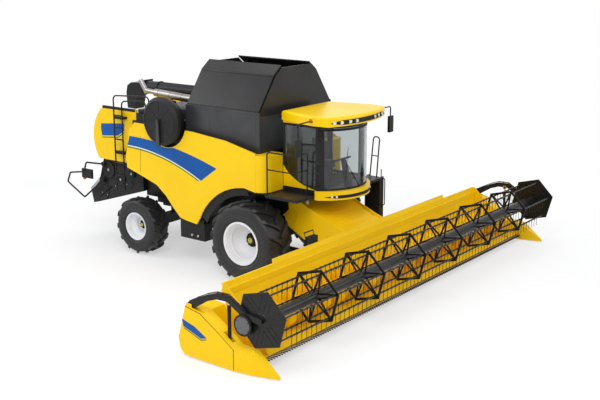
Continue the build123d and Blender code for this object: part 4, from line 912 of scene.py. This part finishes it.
dress(satin_black, "mirrors")
dress(gloss_yellow, "bumper")
silvered = coated("mirror_glass", (0.80, 0.82, 0.83), (0.74, 0.76, 0.77), 0.03, 0.02, 1.0, 0.0, Metallic=1.0)
for name, y, x, near, far, top in (("right", -1, 1.5, 1.56, 1.73, 3.47), ("left", 1, 1.7, 1.58, 1.75, 3.57)):
    low, high = sorted((y * near, y * far))
    shell = box_piece(at(x - 0.016, low - 0.006, top - 0.388), at(x + 0.045, high + 0.006, top + 0.006),
                      0.024, 4)
    settle(smooth(shell, 50), "mirror_shell_" + name, rough_black, "machine", "cover_black")
    pane = box_piece(at(x - 0.0225, low + 0.012, top - 0.366), at(x - 0.0195, high - 0.012, top - 0.014),
                     0.0012, 1)
    settle(pane, "mirror_pane_" + name, silvered, "machine", "window_glass")
marker = spun([(0.0, 0.002), (0.0, 0.034), (0.030, 0.034), (0.050, 0.022), (0.054, 0.002)],
              at(1.50, -1.21, 3.80), 24, (0, 0, 1))
settle(marker, "roof_marker", amber, "machine", "lamp_glass")
lip_at, slot_high = bow(2.045, 0.93, 1.5), 2.075
settle(bowed_strip(lip_at, -0.86, 0.80, *pointed(slot_high, 0.036), 0.003), "bumper_slot", seam_black,
       "machine", "yellow_sheet")
spots = [spun([(0.0, 0.002), (0.0, 0.026), (0.006, 0.026), (0.012, 0.018), (0.013, 0.002)],
              at(lip_at(y) + 0.003, y, slot_high), 20, Vector((1, y / 1.1, 0)).normalized())
         for y in (-0.74, -0.66, 0.62, 0.70)]
settle(join(spots), "bumper_lamps", lens_clear, "machine", "lamp_glass")

# ---------------------------------------------------------------- unloading auger
# A rolled tube, welded along its length and clamped in four places, swings out on the turret. Its
# spout is sheet ending in a black rubber boot.

dress(satin_black, "unloading_auger")
swing_x, swing_y = -0.3, 1.62      # the upright line that the auger swings about
band_shape = [(-0.022, 0.182), (-0.022, 0.196), (-0.008, 0.196), (-0.008, 0.204), (0.008, 0.204),
              (0.008, 0.196), (0.022, 0.196), (0.022, 0.182)]
bands = [spun(band_shape, at(swing_x - 6.0 * share, swing_y - 0.08 * share, 3.62), 40, (1, 0, 0))
         for share in (0.14, 0.40, 0.66, 0.90)]
bands.append(box_piece(at(-5.8, 1.50, 3.80), at(-0.9, 1.515, 3.812), 0.003, 1))
settle(join(bands), "auger_bands", satin_black, "unloading_auger", "black_steel")
boot = plate([(-6.90, 3.36), (-6.872, 3.00), (-6.555, 2.99), (-6.475, 3.33)], 1.362, 1.718, 0.02)
settle(boot, "spout_boot", rough_black, "unloading_auger", "cover_black")
stud_x = swing_x + 0.217
ring = [spun([(-0.03, 0.202), (-0.03, 0.232), (0.0, 0.232), (0.0, 0.202)], at(swing_x, swing_y, 3.40), 48,
             (0, 0, 1)),
        ring_of(round_bar(at(stud_x, swing_y, 3.392), at(stud_x, swing_y, 3.418), 0.011, 6), 12,
                at(swing_x, swing_y, 3.4), "Z")]
settle(join(ring), "turret_flange", satin_black, "machine", "black_steel")

# ---------------------------------------------------------------- feeder house and lift cylinders
# A folded and welded yellow casing, with slots for its floor's adjusters and a black cover over the
# drive at its left side. The cylinders have ground and chromed rods with wiper rings.

sheet_yellow = coated("yellow_sheet_paint", (0.93, 0.59, 0.001), (0.90, 0.555, 0.001), 0.36, 0.08, 0.03,
                      0.0005, Specular_IOR_Level=0.18)
dress(sheet_yellow, "feeder_house", "header_frame", "dividers", "header_auger")
dress(black_steel, "lift_barrels", "reel_barrels", "quick_coupler", "knife_bar")
chrome = coated("ground_chrome", (0.75, 0.76, 0.78), (0.66, 0.67, 0.69), 0.12, 0.05, 0.01, 0.0002,
                Metallic=1.0)
dress(chrome, "lift_rods", "reel_rods")


def on_top(x, half, foot, head):
    """Outline of a strip laid across the sloping top of the feeder house, between two heights above it."""
    return [(x + shift, 1.38 + (1.9 - x - shift) * (0.52 / 1.2) + rise)
            for shift, rise in ((-half, foot), (half, foot), (half, head), (-half, head))]


slots = [plate(on_top(x, 0.045, 0.0005, 0.002), y - 0.006, y + 0.006, 0)
         for y in (-0.72, 0.72) for x in (1.62, 1.74, 1.86)]
settle(join(slots), "feeder_slots", seam_black, "header", "yellow_sheet")
seams = [plate(on_top(x, 0.01, 0.0, 0.004), -0.765, 0.765, 0.001) for x in (0.95, 1.45)]
settle(join(seams), "feeder_top_seams", sheet_yellow, "header", "yellow_sheet")
rib_shape = ((0.86, 1.62), (0.90, 1.60), (0.78, 1.20), (0.74, 1.22))
for name, y in sides:
    low, high = sorted((y * 0.8005, y * 0.815))
    ribs = [plate([(x + shift, z - shift * 0.45) for x, z in rib_shape], low, high, 0.003)
            for shift in (0, 0.4, 0.8)]
    settle(join(ribs), "feeder_ribs_" + name, sheet_yellow, "header", "yellow_sheet")
cover_y = 0.8165
cover = [plate([(0.62, 1.62), (0.76, 1.68), (2.02, 1.06), (2.06, 0.94), (1.94, 0.86), (0.66, 1.48)],
               cover_y, 0.850, 0.010)]
cover += [cross_bar(x, cover_y, z, 0.0455, 0.06, 28, 0.01) for x, z in ((0.72, 1.58), (1.95, 0.96))]
settle(join(cover), "feeder_drive_cover", satin_black, "header", "black_steel")

# ---------------------------------------------------------------- header
# A wide trough of bent yellow sheet on square beams, with pointed dividers at both ends. Knife
# sections run between forged guards, and the auger's fingers draw the crop in at the middle.

bolt_count, bolt_pitch = 33, 0.30
bolt_y = -bolt_pitch * (bolt_count - 1) / 2
bolt = round_bar(at(2.266, bolt_y, 1.20), at(2.276, bolt_y, 1.203), 0.010, 6, 0.001)
settle(row_of(bolt, bolt_count, (0, bolt_pitch, 0)), "header_back_bolts", zinc, "header", "yellow_sheet")
ribs = [box_piece(at(2.12, y * place - 0.012, 0.33), at(2.20, y * place + 0.012, 1.07), 0.004)
        for name, y in sides for place in (1.1, 1.8, 2.5, 3.2, 3.9, 4.6)]
settle(join(ribs), "header_back_ribs", sheet_yellow, "header", "yellow_sheet")
# a knife section is a triangle that points forward, a little narrower than the guards' spacing
section_pitch = 0.0762
section_count = int(2 * 5.335 / section_pitch)
section = started(bpy.ops.mesh.primitive_cylinder_add, vertices=3, radius=0.040, depth=0.003,
                  location=at(3.392, 0, 0.1335))
for vertex in section.data.vertices:
    vertex.co.x *= 1.25
    vertex.co.y *= 1.02
moved(section, (0, -section_pitch * (section_count - 1) / 2, 0))
settle(row_of(section, section_count, (0, section_pitch, 0)), "knife_sections", bright_steel, "header",
       "black_steel")

auger_low, auger_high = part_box("header_auger")
auger_centre = (auger_low + auger_high) / 2
finger_count, finger_pitch = 6, 0.156
first = auger_centre - Vector((0, finger_pitch * (finger_count - 1) / 2, 0))
fingers = []
for index in range(finger_count):
    foot = first + Vector((0, finger_pitch * index, 0))
    finger = round_bar(foot + Vector((0.155, 0, 0)), foot + Vector((0.285, 0, 0)), 0.008, 8)
    guide = round_bar(foot + Vector((0.150, 0, 0)), foot + Vector((0.172, 0, 0)), 0.022, 12)
    fingers.append(turned(ring_of(join([finger, guide]), 3, auger_centre), index * 0.9, auger_centre))
settle(join(fingers), "auger_fingers", bright_steel, "header_auger", "black_steel")

# bands, seams and bolts of the dividers
divider_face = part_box("dividers")[1].y
stripe = [(1.84, 0.74), (1.87, 0.60), (2.31, 0.45), (2.45, 0.49), (2.16, 0.65)]
stripe_line = [(1.88, 0.582), (2.31, 0.432), (2.44, 0.468), (2.44, 0.450), (2.31, 0.412), (1.885, 0.562)]
for name, y in sides:
    low, high = sorted((y * (divider_face + 0.0003), y * (divider_face + 0.0018)))
    settle(plate(stripe, low, high, 0), "divider_band_" + name, band_blue, "header", "yellow_sheet")
    settle(plate(stripe_line, low, high, 0), "divider_line_" + name, band_green, "header", "yellow_sheet")
    seam = [plate([(1.93, 1.006), (2.30, 0.936), (2.70, 0.686), (3.108, 0.412), (3.108, 0.400), (2.70, 0.674),
                   (2.296, 0.924), (1.93, 0.994)], low, high, 0),
            plate([(3.082, 0.030), (3.094, 0.030), (3.094, 0.42), (3.082, 0.425)], low, high, 0)]
    settle(join(seam), "divider_seam_" + name, seam_black, "header", "yellow_sheet")
    bolts = [cross_bar(x, y * divider_face, z, y * 0.006, 0.012, 10, 0.002)
             for x, z in ((1.82, 0.30), (2.10, 0.12), (2.60, 0.09), (2.98, 0.09), (3.02, 0.34), (2.52, 0.66))]
    settle(join(bolts), "divider_bolts_" + name, zinc, "header", "yellow_sheet")
sockets = [round_bar(at(2.05, y, z), at(2.02, y, z), 0.028, 20, 0.004)
           for y in (-2.05, -1.97, -1.89) for z in (1.30, 1.42)]
sockets.append(box_piece(at(2.045, -2.13, 1.24), at(2.058, -1.81, 1.50), 0.004))
grip = [round_bar(at(2.08, y, 1.47), at(2.02, y, 1.62), 0.010, 12) for y in (-2.125, -1.815)]
grip.append(cross_bar(2.02, -2.13, 1.62, 0.32, 0.014, 12))
settle(join(sockets + grip), "coupler_lever", satin_black, "header", "black_steel")

# ---------------------------------------------------------------- reel and its arms
# A light black tube with shaped end plates, spiders and rows of sprung tines. Each arm is a boxed
# pressing, with its cylinder beneath it and steel oil pipes clipped along its side.

reel_black = coated("reel_black", (0.006, 0.006, 0.006), (0.010, 0.010, 0.010), 0.26, 0.1, 0.02, 0.0005,
                    Specular_IOR_Level=0.3)
# painted sheen: a mid grey for the reel drive's black lid, in place of the light that it catches
painted_sheen_grey = coated("painted_sheen_grey", (0.135, 0.135, 0.140), (0.110, 0.110, 0.110), 0.30, 0.2, 0.02, 0.0005)
dress(reel_black, "reel", "reel_arms")
reel_x, reel_z, reel_face = 3.65, 1.075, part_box("reel")[1].y
reel_middle = at(reel_x, 0, reel_z)
bat_count, bat_radius, bat_turn = 6, 0.48, 15      # the first bat stands 15 degrees up from level


def on_reel(radius, degrees):
    """A place on the reel's end, as (x, z)."""
    return Vector((reel_x + radius * math.cos(math.radians(degrees)),
                   reel_z + radius * math.sin(math.radians(degrees))))


for name, y in sides:
    # pressed ridges: a rim along each edge, one out to each corner, and an open V between. They
    # stand 4 mm past the bats' ends, inside the arm's 6 mm of room
    low, high = sorted((y * (reel_face - 0.0025), y * (reel_face + 0.004)))
    ridges = []
    for begin, end, half in ((on_reel(0.553, 15), on_reel(0.553, 75), 0.015),
                             (on_reel(0.14, 15), on_reel(0.53, 15), 0.013),
                             (on_reel(0.19, 45), on_reel(0.46, 28), 0.011),
                             (on_reel(0.19, 45), on_reel(0.46, 62), 0.011)):
        aside = (end - begin).orthogonal().normalized() * half
        ridges.append(plate([begin + aside, end + aside, end - aside, begin - aside], low, high, 0.002))
    ribs = ring_of(join(ridges), bat_count, reel_middle)
    hub = spun([(-0.0025, 0.066), (-0.0025, 0.13), (0.004, 0.124), (0.004, 0.066)],
               at(reel_x, y * reel_face, reel_z), 40, (0, y, 0))
    settle(join([ribs, hub]), "reel_end_ribs_" + name, reel_black, "reel", "black_steel")
# sprung coils where each tine hangs from its bat
tine_pitch = 0.150
tine_count = int(2 * (5.341 - 0.14) / tine_pitch)
coils = []
for index in range(bat_count):
    x, z = on_reel(bat_radius, bat_turn + 360 / bat_count * index)
    coil = spun([(-0.012, 0.0185), (-0.012, 0.025), (0.012, 0.025), (0.012, 0.0185)],
                at(x, -tine_pitch * (tine_count - 1) / 2, z), 8)
    coils.append(row_of(coil, tine_count, (0, tine_pitch, 0)))
settle(join(coils), "tine_coils", reel_black, "reel", "black_steel")
# pipes along the arms, and the round cover of the reel's drive with its rim, bolts and lid. The lid's
# mid grey is painted sheen: the cover is black, and the grey stands for the light that it catches
cover_x, cover_z, cover_face = 3.3, 0.93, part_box("reel_arms")[1].y
route = [(1.99, 1.104), (2.43, 1.329), (2.66, 1.409), (2.94, 1.419), (3.34, 1.179)]
for name, y in sides:
    side = y * 5.567
    pipes = []
    for pipe_y in (side - 0.016, side + 0.016):
        for (x0, z0), (x1, z1) in zip(route, route[1:]):
            pipes.append(round_bar(at(x0, pipe_y, z0), at(x1, pipe_y, z1), 0.008, 10, 0.001))
    for x, z in ((2.22, 1.215), (2.80, 1.408), (3.14, 1.29)):
        pipes.append(box_piece(at(x - 0.015, side - 0.03, z - 0.012), at(x + 0.015, side + 0.03, z + 0.014),
                               0.003, 1))
    settle(join(pipes), "arm_pipes_" + name, satin_black, "reel_arms", "black_steel")
    centre = at(cover_x, y * cover_face, cover_z)
    rim = spun([(0.0, 0.168), (0.0, 0.185), (0.006, 0.182), (0.006, 0.168)], centre, 44, (0, y, 0))
    bolt = cross_bar(cover_x, y * cover_face, cover_z + 0.155, y * 0.012, 0.011, 6, 0.001)
    settle(join([rim, ring_of(bolt, 6, centre)]), "reel_drive_cover_" + name, satin_black, "reel_arms",
           "black_steel")
    # a thin skin over the black cover, coloured mid grey as painted sheen
    lid = spun([(0.0003, 0.0016), (0.0003, 0.167), (0.003, 0.164), (0.005, 0.0016)], centre, 44, (0, y, 0))
    settle(lid, "reel_drive_lid_sheen_" + name, painted_sheen_grey, "reel_arms", "black_steel")

low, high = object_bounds()
{"low": list(low), "high": list(high), "cad_low": list(cad_low), "cad_high": list(cad_high)}
